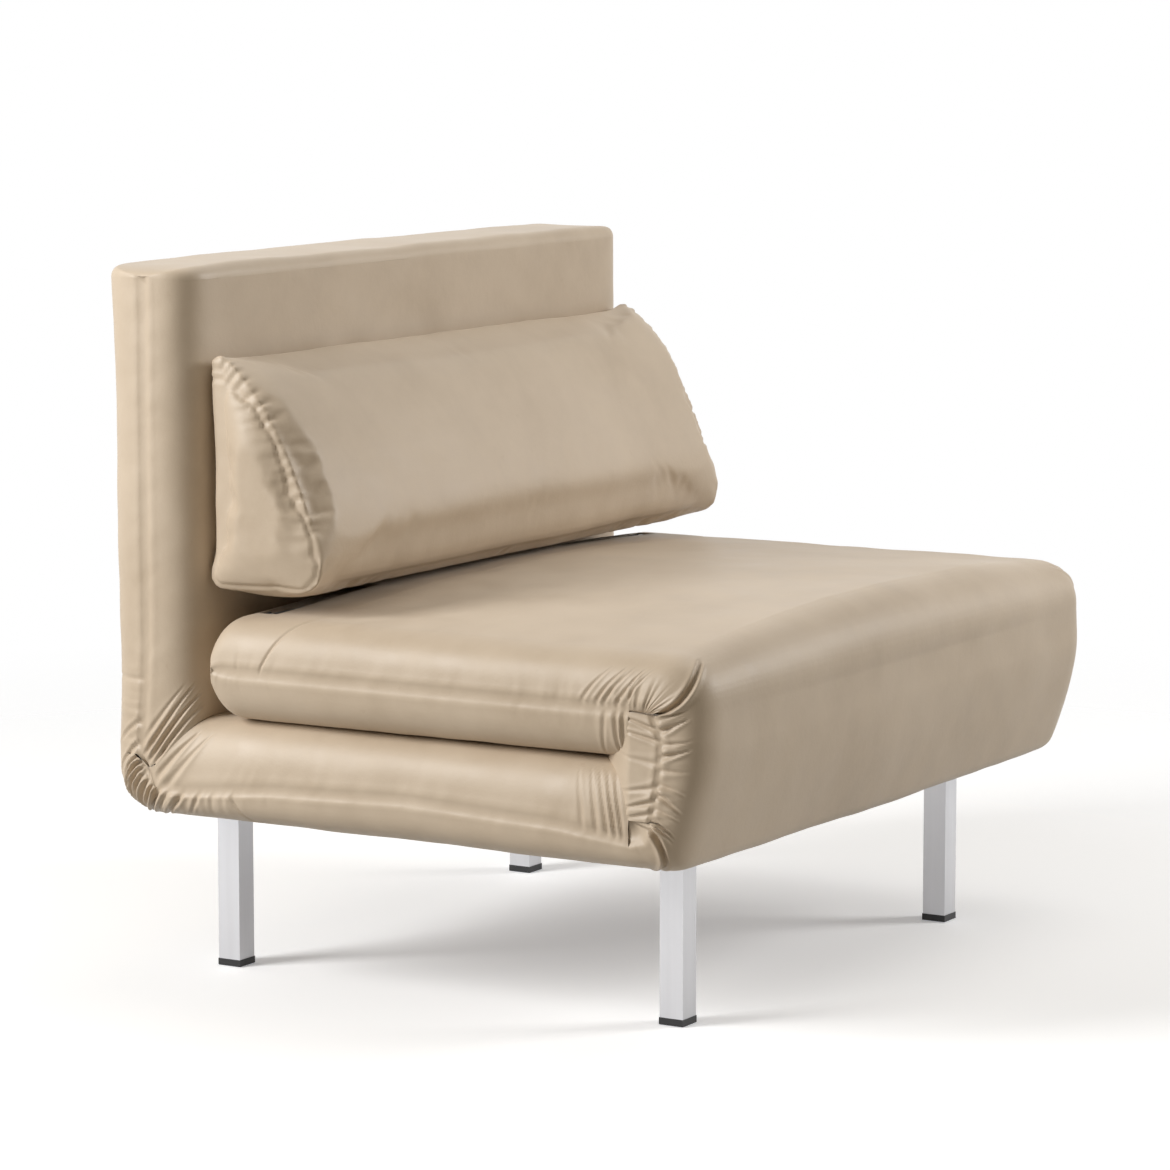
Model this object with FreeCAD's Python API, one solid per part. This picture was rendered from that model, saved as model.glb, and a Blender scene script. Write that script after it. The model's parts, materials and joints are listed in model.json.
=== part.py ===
import FreeCAD, Part
import math
import os

# Convertible chair bed: one padded mattress in three sections, folded into a low chair.
# X runs across the chair, the front faces -Y, and Z = 0 is the floor.
# The base section stands on four legs. The seat section lies on it, turned over, and the
# front fold joins the two. The back section stands at the rear. Unfolded, all three lie flat.

os.makedirs("parts", exist_ok=True)
V = FreeCAD.Vector

# Driving dimensions, in millimetres
overall_width = 990.0
overall_height = 838.0
underside_height = 201.0
layer_thickness = 120.0
base_length = 639.0
seat_rear_gap = 25.0
fold_depth = 89.0
seat_crown = 21.0
body_gap = 0.3
fit = 0.3

cover_thickness = 2.0
fold_corner_radius = 46.0
fold_lean = 17.0
fold_top_radius = 52.0
fold_bottom_radius = 36.0
fold_bottom_draw = 6.0
fold_front_draw = 4.5
fold_front_rise = 6.0
seat_end_radius = 42.0
back_top_radius = 16.0
back_side_corner_radius = 24.0
back_lift = 15.0

rail_size = 25.0
rail_wall = 2.0
rail_inset = 42.5
cross_rail_gap = 0.5
back_cross_lap = 4.0
front_rail_setback = 22.0
base_rail_end_gap = 28.0
seat_rail_end_gap = 20.0
back_rail_rise = 42.0
back_rail_top_gap = 40.0
slat_width = 60.0
slat_thickness = 8.0
slats_per_section = 5
slat_front_gap = 46.0
base_slat_rear_gap = 70.0
seat_slat_rear_gap = 60.0
back_slat_low_gap = 58.0
back_slat_top_gap = 50.0
back_slat_depth = 9.0
holder_length = 22.0
holder_wall = 3.0

leg_size = 30.0
leg_wall = 2.0
leg_side_inset = 167.0
front_leg_setback = 32.5
rear_leg_setback = 4.0
glide_height = 8.0
glide_lip = 0.6
glide_plug = 18.0
plate_width = 90.0
plate_thickness = 4.0
bolt_radius = 4.0
bolt_head_radius = 6.5
bolt_head_height = 5.0
bolt_spacing = 64.0
bolt_reach = 8.0

hinge_plate = 5.0
hinge_plate_gap = 0.5
hinge_end_radius = 14.0
hinge_pin_radius = 6.0
hinge_pin_head_radius = 10.0
hinge_pin_head = 3.5
running_clearance = 0.08
hinge_leaf_length = 80.0
leaf_pad_length = 40.0
hinge_room = 3.0
pin_head_room = 1.5
tie_bar_radius = 8.0
tie_bar_wall = 1.5
tie_bar_offset = 26.0
core_depth = 61.0
core_side_gap = 3.0

ratchet_radius = 34.0
ratchet_step = 15.0
ratchet_depth = 4.0
ratchet_half_angle = 6.4
spring_thickness = 2.0
spring_length = 62.0
spring_block = 18.0
spring_rise = 5.0
spring_neck = 5.0
spring_nose_gap = 1.5
spring_nose_half = 1.6

foot_leg_radius = 10.0
foot_leg_pivot_rise = 49.0
foot_leg_pivot_inset = 75.0
foot_leg_end_inset = 40.0
foot_leg_wall = 1.5
foot_glide_height = 8.0
foot_glide_lip = 1.0
foot_glide_plug = 14.0
leg_plug_length = 24.0
foot_pocket_gap = 6.0
foot_slot_gap = 5.0
foot_floor_gap = 3.0
bracket_thickness = 3.0
bracket_gap = 0.6
bracket_overhang = 2.0
bracket_lip = 1.0
small_pin_radius = 4.0
small_pin_end = 1.0

head_leg_radius = 11.0
head_leg_wall = 1.5
head_leg_span = 600.0
head_leg_pivot_height = 700.0
head_leg_bend_radius = 40.0
head_leg_stand_off = 2.0
cheek_reach = 6.0
head_glide_length = 30.0
head_glide_thickness = 2.0

pillow_length = 940.0
pillow_depth = 158.0
pillow_height = 285.0
pillow_end_draw = 9.0
pillow_bulge = 11.0
pillow_top_flat = 8.0
pillow_bottom_radius = 12.0
pillow_rear_hem = 24.0
pillow_profile_count = 7

# Levels and stations worked out from the driving dimensions
half_width = overall_width / 2
half_layer = layer_thickness / 2
leg_x = half_width - leg_side_inset
flat_half = half_width - half_layer
base_low = underside_height
base_mid = base_low + half_layer
base_top = base_low + layer_thickness
seat_low = base_top + body_gap
seat_mid = seat_low + half_layer
seat_top = seat_low + layer_thickness
crown_top = seat_top + seat_crown
skin = cover_thickness + fit

head_leg_room = head_leg_stand_off + 2 * (head_leg_radius + head_glide_thickness)
depth = fold_depth + base_length + half_layer + head_leg_room
front_y = -depth / 2
fold_y = front_y + fold_depth
back_y = fold_y + base_length
back_front = back_y - half_layer
back_rear = back_y + half_layer
seat_end = back_front - seat_rear_gap
diagonal_gap = body_gap * math.sqrt(2)
inward = 1 - 1 / math.sqrt(2)

rail_x = half_width - rail_inset - rail_size / 2
rail_inner = rail_x - rail_size / 2
rail_outer = rail_x + rail_size / 2
leaf_in = rail_outer
leaf_out = leaf_in + hinge_plate
plate_in = leaf_out + hinge_plate_gap
plate_out = plate_in + hinge_plate
head_in = plate_out + fit
head_out = head_in + hinge_pin_head
pocket_in = leaf_in - hinge_room
pocket_out = head_out + pin_head_room
cross_drop = cross_rail_gap + rail_size / 2
base_cross_z = base_mid - cross_drop
seat_cross_z = seat_mid + cross_drop
far = half_width + 10


def block(box, grow=0.0):
    """Box from (x0, x1, y0, y1, z0, z1), grown on every side."""
    x0, x1, y0, y1, z0, z1 = box
    size = (x1 - x0 + 2 * grow, y1 - y0 + 2 * grow, z1 - z0 + 2 * grow)
    return Part.makeBox(*size, V(x0 - grow, y0 - grow, z0 - grow))


def mirrored(shape):
    return shape.mirror(V(0, 0, 0), V(1, 0, 0))


def mirror_box(box):
    x0, x1, y0, y1, z0, z1 = box
    return (-x1, -x0, y0, y1, z0, z1)


def pair(box):
    return [box, mirror_box(box)]


def join(shapes):
    """Group of separate solids as one shape."""
    solids = [solid for shape in shapes for solid in shape.Solids]
    return solids[0] if len(solids) == 1 else Part.makeCompound(solids)


def cut(shape, tools):
    return shape.cut(tools) if tools else shape


def save(name, *shapes):
    shape = join(shapes)
    shape.exportStep("parts/" + name + ".step")
    print(name, len(shape.Solids), "solids", round(shape.Volume / 1000, 1), "cm3")
    return shape


def rod(start, direction, length, radius, bore=0.0):
    outer = Part.makeCylinder(radius, length, start, direction)
    return outer.cut(Part.makeCylinder(bore, length, start, direction)) if bore else outer


def outline(start, steps):
    """Closed wire. A step is a point for a line, or a pair of points for an arc through the first."""
    edges = []
    here = start
    for step in steps:
        if isinstance(step, tuple):
            edges.append(Part.Arc(here, step[0], step[1]).toShape())
            here = step[1]
        elif here.distanceToPoint(step) > 1e-6:
            edges.append(Part.makeLine(here, step))
            here = step
    if here.distanceToPoint(start) > 1e-6:
        edges.append(Part.makeLine(here, start))
    return Part.Wire(edges)


def prism(wire, travel):
    return Part.Face(wire).extrude(travel)


def side_prism(start, steps, reach=far):
    """Solid over the full width from a side outline given as (y, z) points."""
    def at(point):
        return V(-reach, point[0], point[1])

    placed = []
    for step in steps:
        arc = isinstance(step[0], tuple)
        placed.append((at(step[0]), at(step[1])) if arc else at(step))
    return prism(outline(at(start), placed), V(2 * reach, 0, 0))


def corner(centre, radius, from_angle, way=1):
    """Arc step of a quarter turn in side view, as a pair of (y, z) points; angles in degrees."""
    def point(angle):
        turn = math.radians(angle)
        return (centre[0] + radius * math.cos(turn), centre[1] + radius * math.sin(turn))

    return (point(from_angle + 45 * way), point(from_angle + 90 * way))


def section_wire(place, low, high, inset, crown=0.0):
    """Across section of a pad: flat faces, half-round sides and a crowned upper face."""
    radius = (high - low) / 2 - inset
    middle = (high + low) / 2
    bottom = low + inset
    top = high - inset
    diagonal = radius / math.sqrt(2)
    if crown:
        upper = (place(0, top + crown), place(-flat_half, top))
    else:
        upper = place(-flat_half, top)
    steps = [
        place(flat_half, bottom),
        (place(flat_half + diagonal, middle - diagonal), place(flat_half + radius, middle)),
        (place(flat_half + diagonal, middle + diagonal), place(flat_half, top)),
        upper,
        (place(-flat_half - diagonal, middle + diagonal), place(-flat_half - radius, middle)),
        (place(-flat_half - diagonal, middle - diagonal), place(-flat_half, bottom)),
    ]
    return outline(place(-flat_half, bottom), steps)


def lying_pad(y0, y1, low, high, inset, crown=0.0):
    wire = section_wire(lambda x, t: V(x, y0, t), low, high, inset, crown)
    return prism(wire, V(0, y1 - y0, 0))


def standing_pad(z0, z1, inset):
    wire = section_wire(lambda x, t: V(x, t, z0), back_front, back_rear, inset)
    return prism(wire, V(0, 0, z1 - z0))


def tube_bar(box, along):
    """Square steel tube filling a box, open at both ends along one axis, 0 for X, 1 for Y, 2 for Z."""
    inner = list(box)
    for axis in range(3):
        if axis != along:
            inner[2 * axis] += rail_wall
            inner[2 * axis + 1] -= rail_wall
    return block(box).cut(block(inner))


def hinge_plate_shape(x0, x1, points, radius, holes, hole_radius):
    """Flat steel link: a bar with round ends between two (y, z) points, with pin holes."""
    thickness = x1 - x0
    (ya, za), (yb, zb) = points
    ends = [Part.makeCylinder(radius, thickness, V(x0, y, z), V(1, 0, 0)) for y, z in points]
    length = math.hypot(yb - ya, zb - za)
    dy = (yb - ya) / length * radius
    dz = (zb - za) / length * radius
    corners = [
        V(x0, ya - dz, za + dy),
        V(x0, yb - dz, zb + dy),
        V(x0, yb + dz, zb - dy),
        V(x0, ya + dz, za - dy),
    ]
    bar = prism(outline(corners[0], corners[1:]), V(thickness, 0, 0))
    shape = ends[0].fuse([bar, ends[1]]).removeSplitter()
    drills = [rod(V(x0 - 1, y, z), V(1, 0, 0), thickness + 2, hole_radius) for y, z in holes]
    return cut(shape, drills)


def cross_pin(y, z):
    """Hinge pin with a flat head outside the moving plate."""
    shank = rod(V(rail_outer, y, z), V(1, 0, 0), head_in - rail_outer, hinge_pin_radius)
    head = rod(V(head_in, y, z), V(1, 0, 0), hinge_pin_head, hinge_pin_head_radius)
    return shank.fuse(head).removeSplitter()


def pocket(y0, y1, z0, z1):
    """Room in the foam around the hinge plates, at both sides."""
    return [block(b) for b in pair((pocket_in, pocket_out, y0, y1, z0, z1))]


# Frame of a section, as boxes


def side_rail_box(y0, y1, z):
    return (rail_inner, rail_outer, y0, y1, z - rail_size / 2, z + rail_size / 2)


def cross_rail_box(y, z):
    half = rail_size / 2
    return (-rail_inner, rail_inner, y - half, y + half, z - half, z + half)


def slat_box(y, z0):
    reach = rail_inner - holder_wall
    return (-reach, reach, y - slat_width / 2, y + slat_width / 2, z0, z0 + slat_thickness)


def holder_box(y, z0):
    y_reach = slat_width / 2 + holder_wall
    return (rail_inner - holder_length, rail_inner, y - y_reach, y + y_reach,
            z0 - holder_wall, z0 + slat_thickness + holder_wall)


def slat_stations(first, last):
    step = (last - first) / (slats_per_section - 1)
    return [first + step * i for i in range(slats_per_section)]


def slats_and_holders(stations, z0, turn=None):
    """Sprung slats with a plastic cap on each end. A turn maps them to a standing section."""
    slats = [block(slat_box(y, z0)) for y in stations]
    holders = []
    for y in stations:
        for box in pair(holder_box(y, z0)):
            holders.append(block(box).cut(block(slat_box(y, z0))))
    if turn:
        slats = [turn(shape) for shape in slats]
        holders = [turn(shape) for shape in holders]
    return slats, holders


def slat_room(stations, z0):
    boxes = []
    for y in stations:
        boxes.append(block(slat_box(y, z0), fit))
        boxes += [block(b, fit) for b in pair(holder_box(y, z0))]
    return boxes


# Base section

base_rail_box = side_rail_box(fold_y + front_rail_setback, back_y - base_rail_end_gap, base_mid)
front_leg_y = fold_y + front_leg_setback
rear_leg_y = back_y - rear_leg_setback
middle_rail_y = (front_leg_y + rear_leg_y) / 2
base_cross_boxes = [cross_rail_box(y, base_cross_z) for y in (front_leg_y, middle_rail_y, rear_leg_y)]
base_slat_z = base_mid + holder_wall + fit
base_slat_y = slat_stations(fold_y + core_depth + slat_front_gap, back_front - base_slat_rear_gap)
plate_top = base_cross_z - rail_size / 2
plate_low = plate_top - plate_thickness


def leg_box(side, y):
    x = side * leg_x
    half = leg_size / 2
    return (x - half, x + half, y - half, y + half, glide_height, plate_low)


def plate_box(side, y):
    x = side * leg_x
    return (x - plate_width / 2, x + plate_width / 2, y - leg_size / 2, y + leg_size / 2,
            plate_low, plate_top)


def leg(side, y):
    box = leg_box(side, y)
    bore = (box[0] + leg_wall, box[1] - leg_wall, box[2] + leg_wall, box[3] - leg_wall, box[4], box[5])
    return block(box).cut(block(bore))


def glide(side, y):
    x0, x1, y0, y1, z0, z1 = leg_box(side, y)
    cap = block((x0 - glide_lip, x1 + glide_lip, y0 - glide_lip, y1 + glide_lip, 0, glide_height))
    inset = leg_wall + fit
    plug = block((x0 + inset, x1 - inset, y0 + inset, y1 - inset, glide_height, glide_height + glide_plug))
    return cap.fuse(plug)


def bolt_places(side, y):
    x = side * leg_x
    return [V(x + s * bolt_spacing / 2, y, plate_low) for s in (-1, 1)]


def bolt(place):
    head = rod(place - V(0, 0, bolt_head_height), V(0, 0, 1), bolt_head_height, bolt_head_radius)
    shank = rod(place, V(0, 0, 1), plate_thickness + bolt_reach, bolt_radius)
    return head.fuse(shank).removeSplitter()


leg_places = [("front_left", -1, front_leg_y), ("front_right", 1, front_leg_y),
              ("rear_left", -1, rear_leg_y), ("rear_right", 1, rear_leg_y)]
bolts = [bolt(p) for _, side, y in leg_places for p in bolt_places(side, y)]
bolt_rooms = [rod(p - V(0, 0, bolt_head_height + fit), V(0, 0, 1), bolt_head_height + fit,
                  bolt_head_radius + fit) for _, side, y in leg_places for p in bolt_places(side, y)]
leg_rooms = []
for _, side, y in leg_places:
    leg_rooms.append(block(leg_box(side, y), fit))
    leg_rooms.append(block(plate_box(side, y), fit))

base_rails = [tube_bar(b, 1) for b in pair(base_rail_box)]
base_cross = [cut(tube_bar(b, 0), bolts) for b in base_cross_boxes]
base_slats, base_holders = slats_and_holders(base_slat_y, base_slat_z)

save("base_side_rails", *base_rails)
save("base_cross_rails", *base_cross)
save("base_slats", *base_slats)
save("base_slat_holders", *base_holders)
for name, side, y in leg_places:
    save("leg_" + name, leg(side, y))
save("leg_glides", *[glide(side, y) for _, side, y in leg_places])
save("leg_mounting_plates", *[cut(block(plate_box(side, y)), bolts) for _, side, y in leg_places])
save("leg_bolts", *bolts)

base_frame_room = [block(b, fit) for b in pair(base_rail_box) + base_cross_boxes]
base_frame_room += slat_room(base_slat_y, base_slat_z) + leg_rooms + bolt_rooms
fold_pocket_reach = hinge_end_radius + hinge_room
leaf_start = fold_y + hinge_leaf_length
base_pockets = pocket(fold_y, leaf_start + hinge_room,
                      base_mid - fold_pocket_reach, base_mid + fold_pocket_reach)
ratchet_reach = ratchet_radius + hinge_room
rear_leaf_start = back_y - hinge_leaf_length - spring_block
base_pockets += pocket(rear_leaf_start - hinge_room, back_y + ratchet_reach,
                       base_mid - ratchet_reach, base_mid + ratchet_reach)

core_half = rail_inner - core_side_gap
core_notch_box = (-core_half - fit, core_half + fit,
                  fold_y, fold_y + core_depth + fit, base_mid, base_top)


def base_half(inset, upper):
    """Upper or lower half of the base section, the upper one cut back at the rear for the back."""
    pad = lying_pad(fold_y + body_gap, back_y, base_low, base_top, inset)
    if upper:
        region = side_prism((fold_y, base_mid), [
            (back_y - diagonal_gap, base_mid),
            (back_front - diagonal_gap, base_top),
            (fold_y, base_top),
        ])
    else:
        region = side_prism((fold_y, base_low), [
            (back_y, base_low), (back_y, base_mid), (fold_y, base_mid)])
    return pad.common(region)


def padded_half(half, upper, rooms):
    """Foam block and the cover over it, for one half of a section."""
    foam = cut(half(skin, upper), rooms)
    cover = cut(half(0.0, upper), [half(cover_thickness, upper)] + rooms)
    return foam, cover


base_rooms = base_frame_room + base_pockets
foam, cover = padded_half(base_half, True, base_rooms + [block(core_notch_box)])
save("base_foam_upper", foam)
save("base_cover_upper", cover)
foam, cover = padded_half(base_half, False, base_rooms)
save("base_foam_lower", foam)
save("base_cover_lower", cover)

# Hinge hardware of the fold, with its two pivots level with the two section frames

fold_low = (fold_y, base_mid)
fold_high = (fold_y, seat_mid)
pin_hole = hinge_pin_radius + running_clearance


def fold_bracket(point):
    y, z = point
    return hinge_plate_shape(leaf_in, leaf_out, [point, (y + hinge_leaf_length - hinge_end_radius, z)],
                             hinge_end_radius, [point], pin_hole)


def with_mirror(shape):
    return [shape, mirrored(shape)]


save("fold_base_brackets", *with_mirror(fold_bracket(fold_low)))
save("fold_seat_brackets", *with_mirror(fold_bracket(fold_high)))
save("fold_pins", *with_mirror(cross_pin(*fold_low)), *with_mirror(cross_pin(*fold_high)))

tie_y = fold_y - tie_bar_offset
tie_z = (base_mid + seat_mid) / 2
eyes = [Part.makeCylinder(hinge_end_radius, hinge_plate, V(plate_in, y, z), V(1, 0, 0))
        for y, z in (fold_low, fold_high)]
link_web = block((plate_in, plate_out, fold_y - hinge_end_radius, fold_y, base_mid, seat_mid))
tie_lug = Part.makeCylinder(hinge_end_radius, hinge_plate, V(plate_in, tie_y, tie_z), V(1, 0, 0))
tie_web = block((plate_in, plate_out, tie_y, fold_y, tie_z - hinge_end_radius, tie_z + hinge_end_radius))
link_plate = eyes[0].fuse([eyes[1], link_web, tie_lug, tie_web]).removeSplitter()
link_plate = link_plate.cut([rod(V(plate_in - 1, y, z), V(1, 0, 0), hinge_plate + 2, hinge_pin_radius)
                             for y, z in (fold_low, fold_high)])
tie_bar = rod(V(-plate_in, tie_y, tie_z), V(1, 0, 0), 2 * plate_in,
              tie_bar_radius, tie_bar_radius - tie_bar_wall)
save("fold_link_plates", *with_mirror(link_plate))
save("fold_tie_bar", tie_bar)

# Front fold: one rounded roll of foam and cover, in three pieces that fold past each other


def fold_block(inset):
    """Whole front fold, from the underside to the seat's top, in front of the fold's pivots."""
    top = crown_top - inset
    low = base_low + inset
    front = front_y + inset
    top_radius = fold_top_radius - inset
    low_radius = fold_bottom_radius - inset
    low_front = front + fold_lean + fold_bottom_draw
    top_centre = (front + top_radius, top - top_radius)
    low_centre = (low_front + low_radius, low + low_radius)
    side = side_prism((fold_y, low), [
        (low_centre[0], low),
        ((low_centre[0] - low_radius * 0.66, low + low_radius * 0.25), (low_front, low_centre[1])),
        ((front + fold_front_draw, base_mid + fold_front_rise), (front, base_top)),
        (front, top_centre[1]),
        corner(top_centre, top_radius, 180, -1),
        (fold_y, top),
    ])
    radius = fold_corner_radius - inset
    half = half_width - inset
    across = radius / math.sqrt(2)

    def plan(x, y):
        return V(x, y, low - 1)

    plan_wire = outline(plan(half, fold_y), [
        plan(half, front + radius),
        (plan(half - radius + across, front + radius - across), plan(half - radius, front)),
        plan(-half + radius, front),
        (plan(-half + radius - across, front + radius - across), plan(-half, front + radius)),
        plan(-half, fold_y),
    ])
    plan_block = prism(plan_wire, V(0, 0, top - low + 2))
    edge = half_layer - inset
    bow = edge / math.sqrt(2)

    def face(x, z):
        return V(x, front_y - 1, z)

    upper_edge = seat_top - inset
    face_wire = outline(face(-flat_half, low), [
        face(flat_half, low),
        (face(flat_half + bow, base_mid - bow), face(half, base_mid)),
        face(half, seat_mid),
        (face(flat_half + bow, seat_mid + bow), face(flat_half, upper_edge)),
        (face(0, top), face(-flat_half, upper_edge)),
        (face(-flat_half - bow, seat_mid + bow), face(-half, seat_mid)),
        face(-half, base_mid),
        (face(-flat_half - bow, base_mid - bow), face(-flat_half, low)),
    ])
    face_block = prism(face_wire, V(0, fold_depth + 2, 0))
    return side.common(plan_block).common(face_block)


def band(z0, z1):
    return block((-far, far, front_y - 5, fold_y, z0, z1))


fold_outer = fold_block(0.0)
fold_inner = fold_block(cover_thickness)
fold_foam = fold_block(skin)
core_low = base_mid + body_gap
core_high = seat_mid - body_gap
hinge_reach = hinge_end_radius + hinge_room
fold_rooms = pocket(fold_y - hinge_reach, fold_y + 1, base_mid - hinge_reach, seat_mid + hinge_reach)
fold_rooms += pocket(tie_y - hinge_reach, fold_y, tie_z - hinge_reach, tie_z + hinge_reach)
tie_room = rod(V(-plate_out, tie_y, tie_z), V(1, 0, 0), 2 * plate_out, tie_bar_radius + fit)

core_band = band(core_low, core_high)
lower_band = band(base_low - 5, base_mid)
upper_band = band(seat_mid, crown_top + 5)
tongue_box = (-core_half, core_half, fold_y - 1, fold_y + core_depth, core_low, core_high)
core_foam = fold_foam.common(core_band).fuse(block(tongue_box)).removeSplitter()
save("fold_core_foam", core_foam.cut(fold_rooms + [tie_room]))
save("fold_core_cover", fold_outer.common(core_band).cut([fold_inner] + fold_rooms))
save("front_foam_lower", fold_foam.common(lower_band).cut(fold_rooms + leg_rooms))
save("front_cover_lower", fold_outer.common(lower_band).cut([fold_inner] + fold_rooms + leg_rooms))
save("front_foam_upper", fold_foam.common(upper_band).cut(fold_rooms))
save("front_cover_upper", fold_outer.common(upper_band).cut([fold_inner] + fold_rooms))

# Seat section, lying on the base with its crowned face up

foot_pivot_x = half_width - foot_leg_pivot_inset
foot_pivot_z = seat_mid + foot_leg_pivot_rise
foot_y = seat_end - foot_leg_end_inset
seat_rail_box = side_rail_box(fold_y + front_rail_setback, seat_end - seat_rail_end_gap, seat_mid)
seat_middle_y = (front_leg_y + foot_y) / 2
seat_cross_boxes = [cross_rail_box(y, seat_cross_z) for y in (front_leg_y, seat_middle_y, foot_y)]
seat_slat_z = seat_mid - holder_wall - slat_thickness - fit
seat_slat_y = slat_stations(fold_y + core_depth + slat_front_gap, seat_end - seat_slat_rear_gap)

seat_rails = [tube_bar(b, 1) for b in pair(seat_rail_box)]
seat_cross = [tube_bar(b, 0) for b in seat_cross_boxes]
seat_slats, seat_holders = slats_and_holders(seat_slat_y, seat_slat_z)
save("seat_side_rails", *seat_rails)
save("seat_cross_rails", *seat_cross)
save("seat_slats", *seat_slats)
save("seat_slat_holders", *seat_holders)

foot_length = foot_pivot_z - seat_mid
foot_reach = base_mid - foot_length
foot_tube_end = foot_pivot_x - foot_reach + foot_glide_height
foot_half_slot = foot_leg_radius + bracket_thickness + foot_slot_gap
foot_pocket_box = (foot_pivot_x - foot_reach - foot_pocket_gap,
                   foot_pivot_x + foot_leg_radius + foot_pocket_gap,
                   foot_y - foot_half_slot, foot_y + foot_half_slot,
                   foot_pivot_z - foot_leg_radius - foot_floor_gap, crown_top + 5)
foot_rooms = [block(b) for b in pair(foot_pocket_box)]
bracket_inner = foot_leg_radius + bracket_gap
bracket_outer = bracket_inner + bracket_thickness
bracket_low = seat_cross_z + rail_size / 2
bracket_half = foot_leg_radius + bracket_overhang
bracket_floor = bracket_low + bracket_thickness


def foot_bracket():
    """U-shaped bracket on the end rail, with the leg's pin across it."""
    x0 = foot_pivot_x - bracket_half
    x1 = foot_pivot_x + bracket_half
    plates = [block((x0, x1, foot_y + a, foot_y + b, bracket_low, foot_pivot_z + foot_leg_radius - bracket_lip))
              for a, b in ((-bracket_outer, -bracket_inner), (bracket_inner, bracket_outer))]
    floor = block((x0, x1, foot_y - bracket_outer, foot_y + bracket_outer, bracket_low, bracket_floor))
    drill = rod(V(foot_pivot_x, foot_y - bracket_outer, foot_pivot_z), V(0, 1, 0), 2 * bracket_outer,
                small_pin_radius)
    return floor.fuse(plates).removeSplitter().cut(drill)


def foot_pin():
    return rod(V(foot_pivot_x, foot_y - bracket_outer - small_pin_end, foot_pivot_z), V(0, 1, 0),
               2 * (bracket_outer + small_pin_end), small_pin_radius)


def foot_leg():
    """Round drop leg lying across the seat's end in its pocket, right-hand side."""
    length = foot_pivot_x - foot_tube_end
    tube = rod(V(foot_tube_end, foot_y, foot_pivot_z), V(1, 0, 0), length, foot_leg_radius,
               foot_leg_radius - foot_leg_wall)
    head = Part.makeSphere(foot_leg_radius, V(foot_pivot_x, foot_y, foot_pivot_z))
    plug = rod(V(foot_pivot_x - leg_plug_length, foot_y, foot_pivot_z), V(1, 0, 0), leg_plug_length,
               foot_leg_radius)
    drill = rod(V(foot_pivot_x, foot_y - bracket_outer, foot_pivot_z), V(0, 1, 0), 2 * bracket_outer,
                small_pin_radius + running_clearance)
    return tube.fuse([head, plug]).removeSplitter().cut(drill)


def foot_glide():
    cap = rod(V(foot_tube_end - foot_glide_height, foot_y, foot_pivot_z), V(1, 0, 0),
              foot_glide_height, foot_leg_radius + foot_glide_lip)
    plug = rod(V(foot_tube_end, foot_y, foot_pivot_z), V(1, 0, 0), foot_glide_plug,
               foot_leg_radius - foot_leg_wall - fit)
    return cap.fuse(plug)


foot_bracket_room = [block(b, fit) for b in pair((
    foot_pivot_x - bracket_half, foot_pivot_x + bracket_half, foot_y - bracket_outer - small_pin_end,
    foot_y + bracket_outer + small_pin_end, bracket_low, foot_pivot_z))]
save("foot_leg_brackets", *with_mirror(foot_bracket()))
save("foot_leg_pins", *with_mirror(foot_pin()))
save("foot_leg_right", foot_leg())
save("foot_leg_left", mirrored(foot_leg()))
save("foot_glide_right", foot_glide())
save("foot_glide_left", mirrored(foot_glide()))


def seat_half(inset, upper):
    """Upper or lower half of the seat section, with a rounded free end."""
    pad = lying_pad(fold_y + body_gap, seat_end + 1, seat_low, seat_top, inset, seat_crown)
    end = seat_end - inset
    radius = seat_end_radius - inset
    high = crown_top - inset + 0.5
    low = seat_low + inset
    if upper:
        region = side_prism((fold_y, seat_mid), [
            (end, seat_mid),
            (end, high - radius),
            corner((end - radius, high - radius), radius, 0),
            (fold_y, high),
        ])
    else:
        region = side_prism((fold_y, low - 1), [
            (end - radius, low - 1),
            (end - radius, low),
            corner((end - radius, low + radius), radius, 270),
            (end, seat_mid),
            (fold_y, seat_mid),
        ])
    return pad.common(region)


seat_rooms = [block(b, fit) for b in pair(seat_rail_box) + seat_cross_boxes]
seat_rooms += slat_room(seat_slat_y, seat_slat_z) + foot_rooms + foot_bracket_room
seat_rooms += pocket(fold_y, leaf_start + hinge_room,
                     seat_mid - fold_pocket_reach, seat_mid + fold_pocket_reach)
seat_notch = block((-core_half - fit, core_half + fit,
                    fold_y, fold_y + core_depth + fit, seat_low, seat_mid))
foam, cover = padded_half(seat_half, True, seat_rooms)
save("seat_foam_upper", foam)
save("seat_cover_upper", cover)
foam, cover = padded_half(seat_half, False, seat_rooms + [seat_notch])
save("seat_foam_lower", foam)
save("seat_cover_lower", cover)

# Back section, standing at the rear on its ratchet hinges

back_rail_low = base_mid + back_rail_rise
back_rail_high = overall_height - back_rail_top_gap
back_rail_box = (rail_inner, rail_outer, back_y - rail_size / 2, back_y + rail_size / 2,
                 back_rail_low, back_rail_high)
back_cross_y = back_y + cross_drop - back_cross_lap


def back_cross_box(z):
    half = rail_size / 2
    return (-rail_inner, rail_inner, back_cross_y - half, back_cross_y + half, z - half, z + half)


back_cross_z = [back_rail_low + rail_size / 2, (back_rail_low + head_leg_pivot_height) / 2,
                head_leg_pivot_height, back_rail_high - rail_size / 2]
back_cross_boxes = [back_cross_box(z) for z in back_cross_z]
slat_plane = back_y - slat_thickness - back_slat_depth


def stand_up(shape):
    """Turns a lying piece, with its length station along +Y, to stand along +Z."""
    turned = shape.copy()
    turned.rotate(V(0, 0, 0), V(1, 0, 0), 90)
    turned.translate(V(0, slat_plane + slat_thickness, 0))
    return turned


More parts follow.
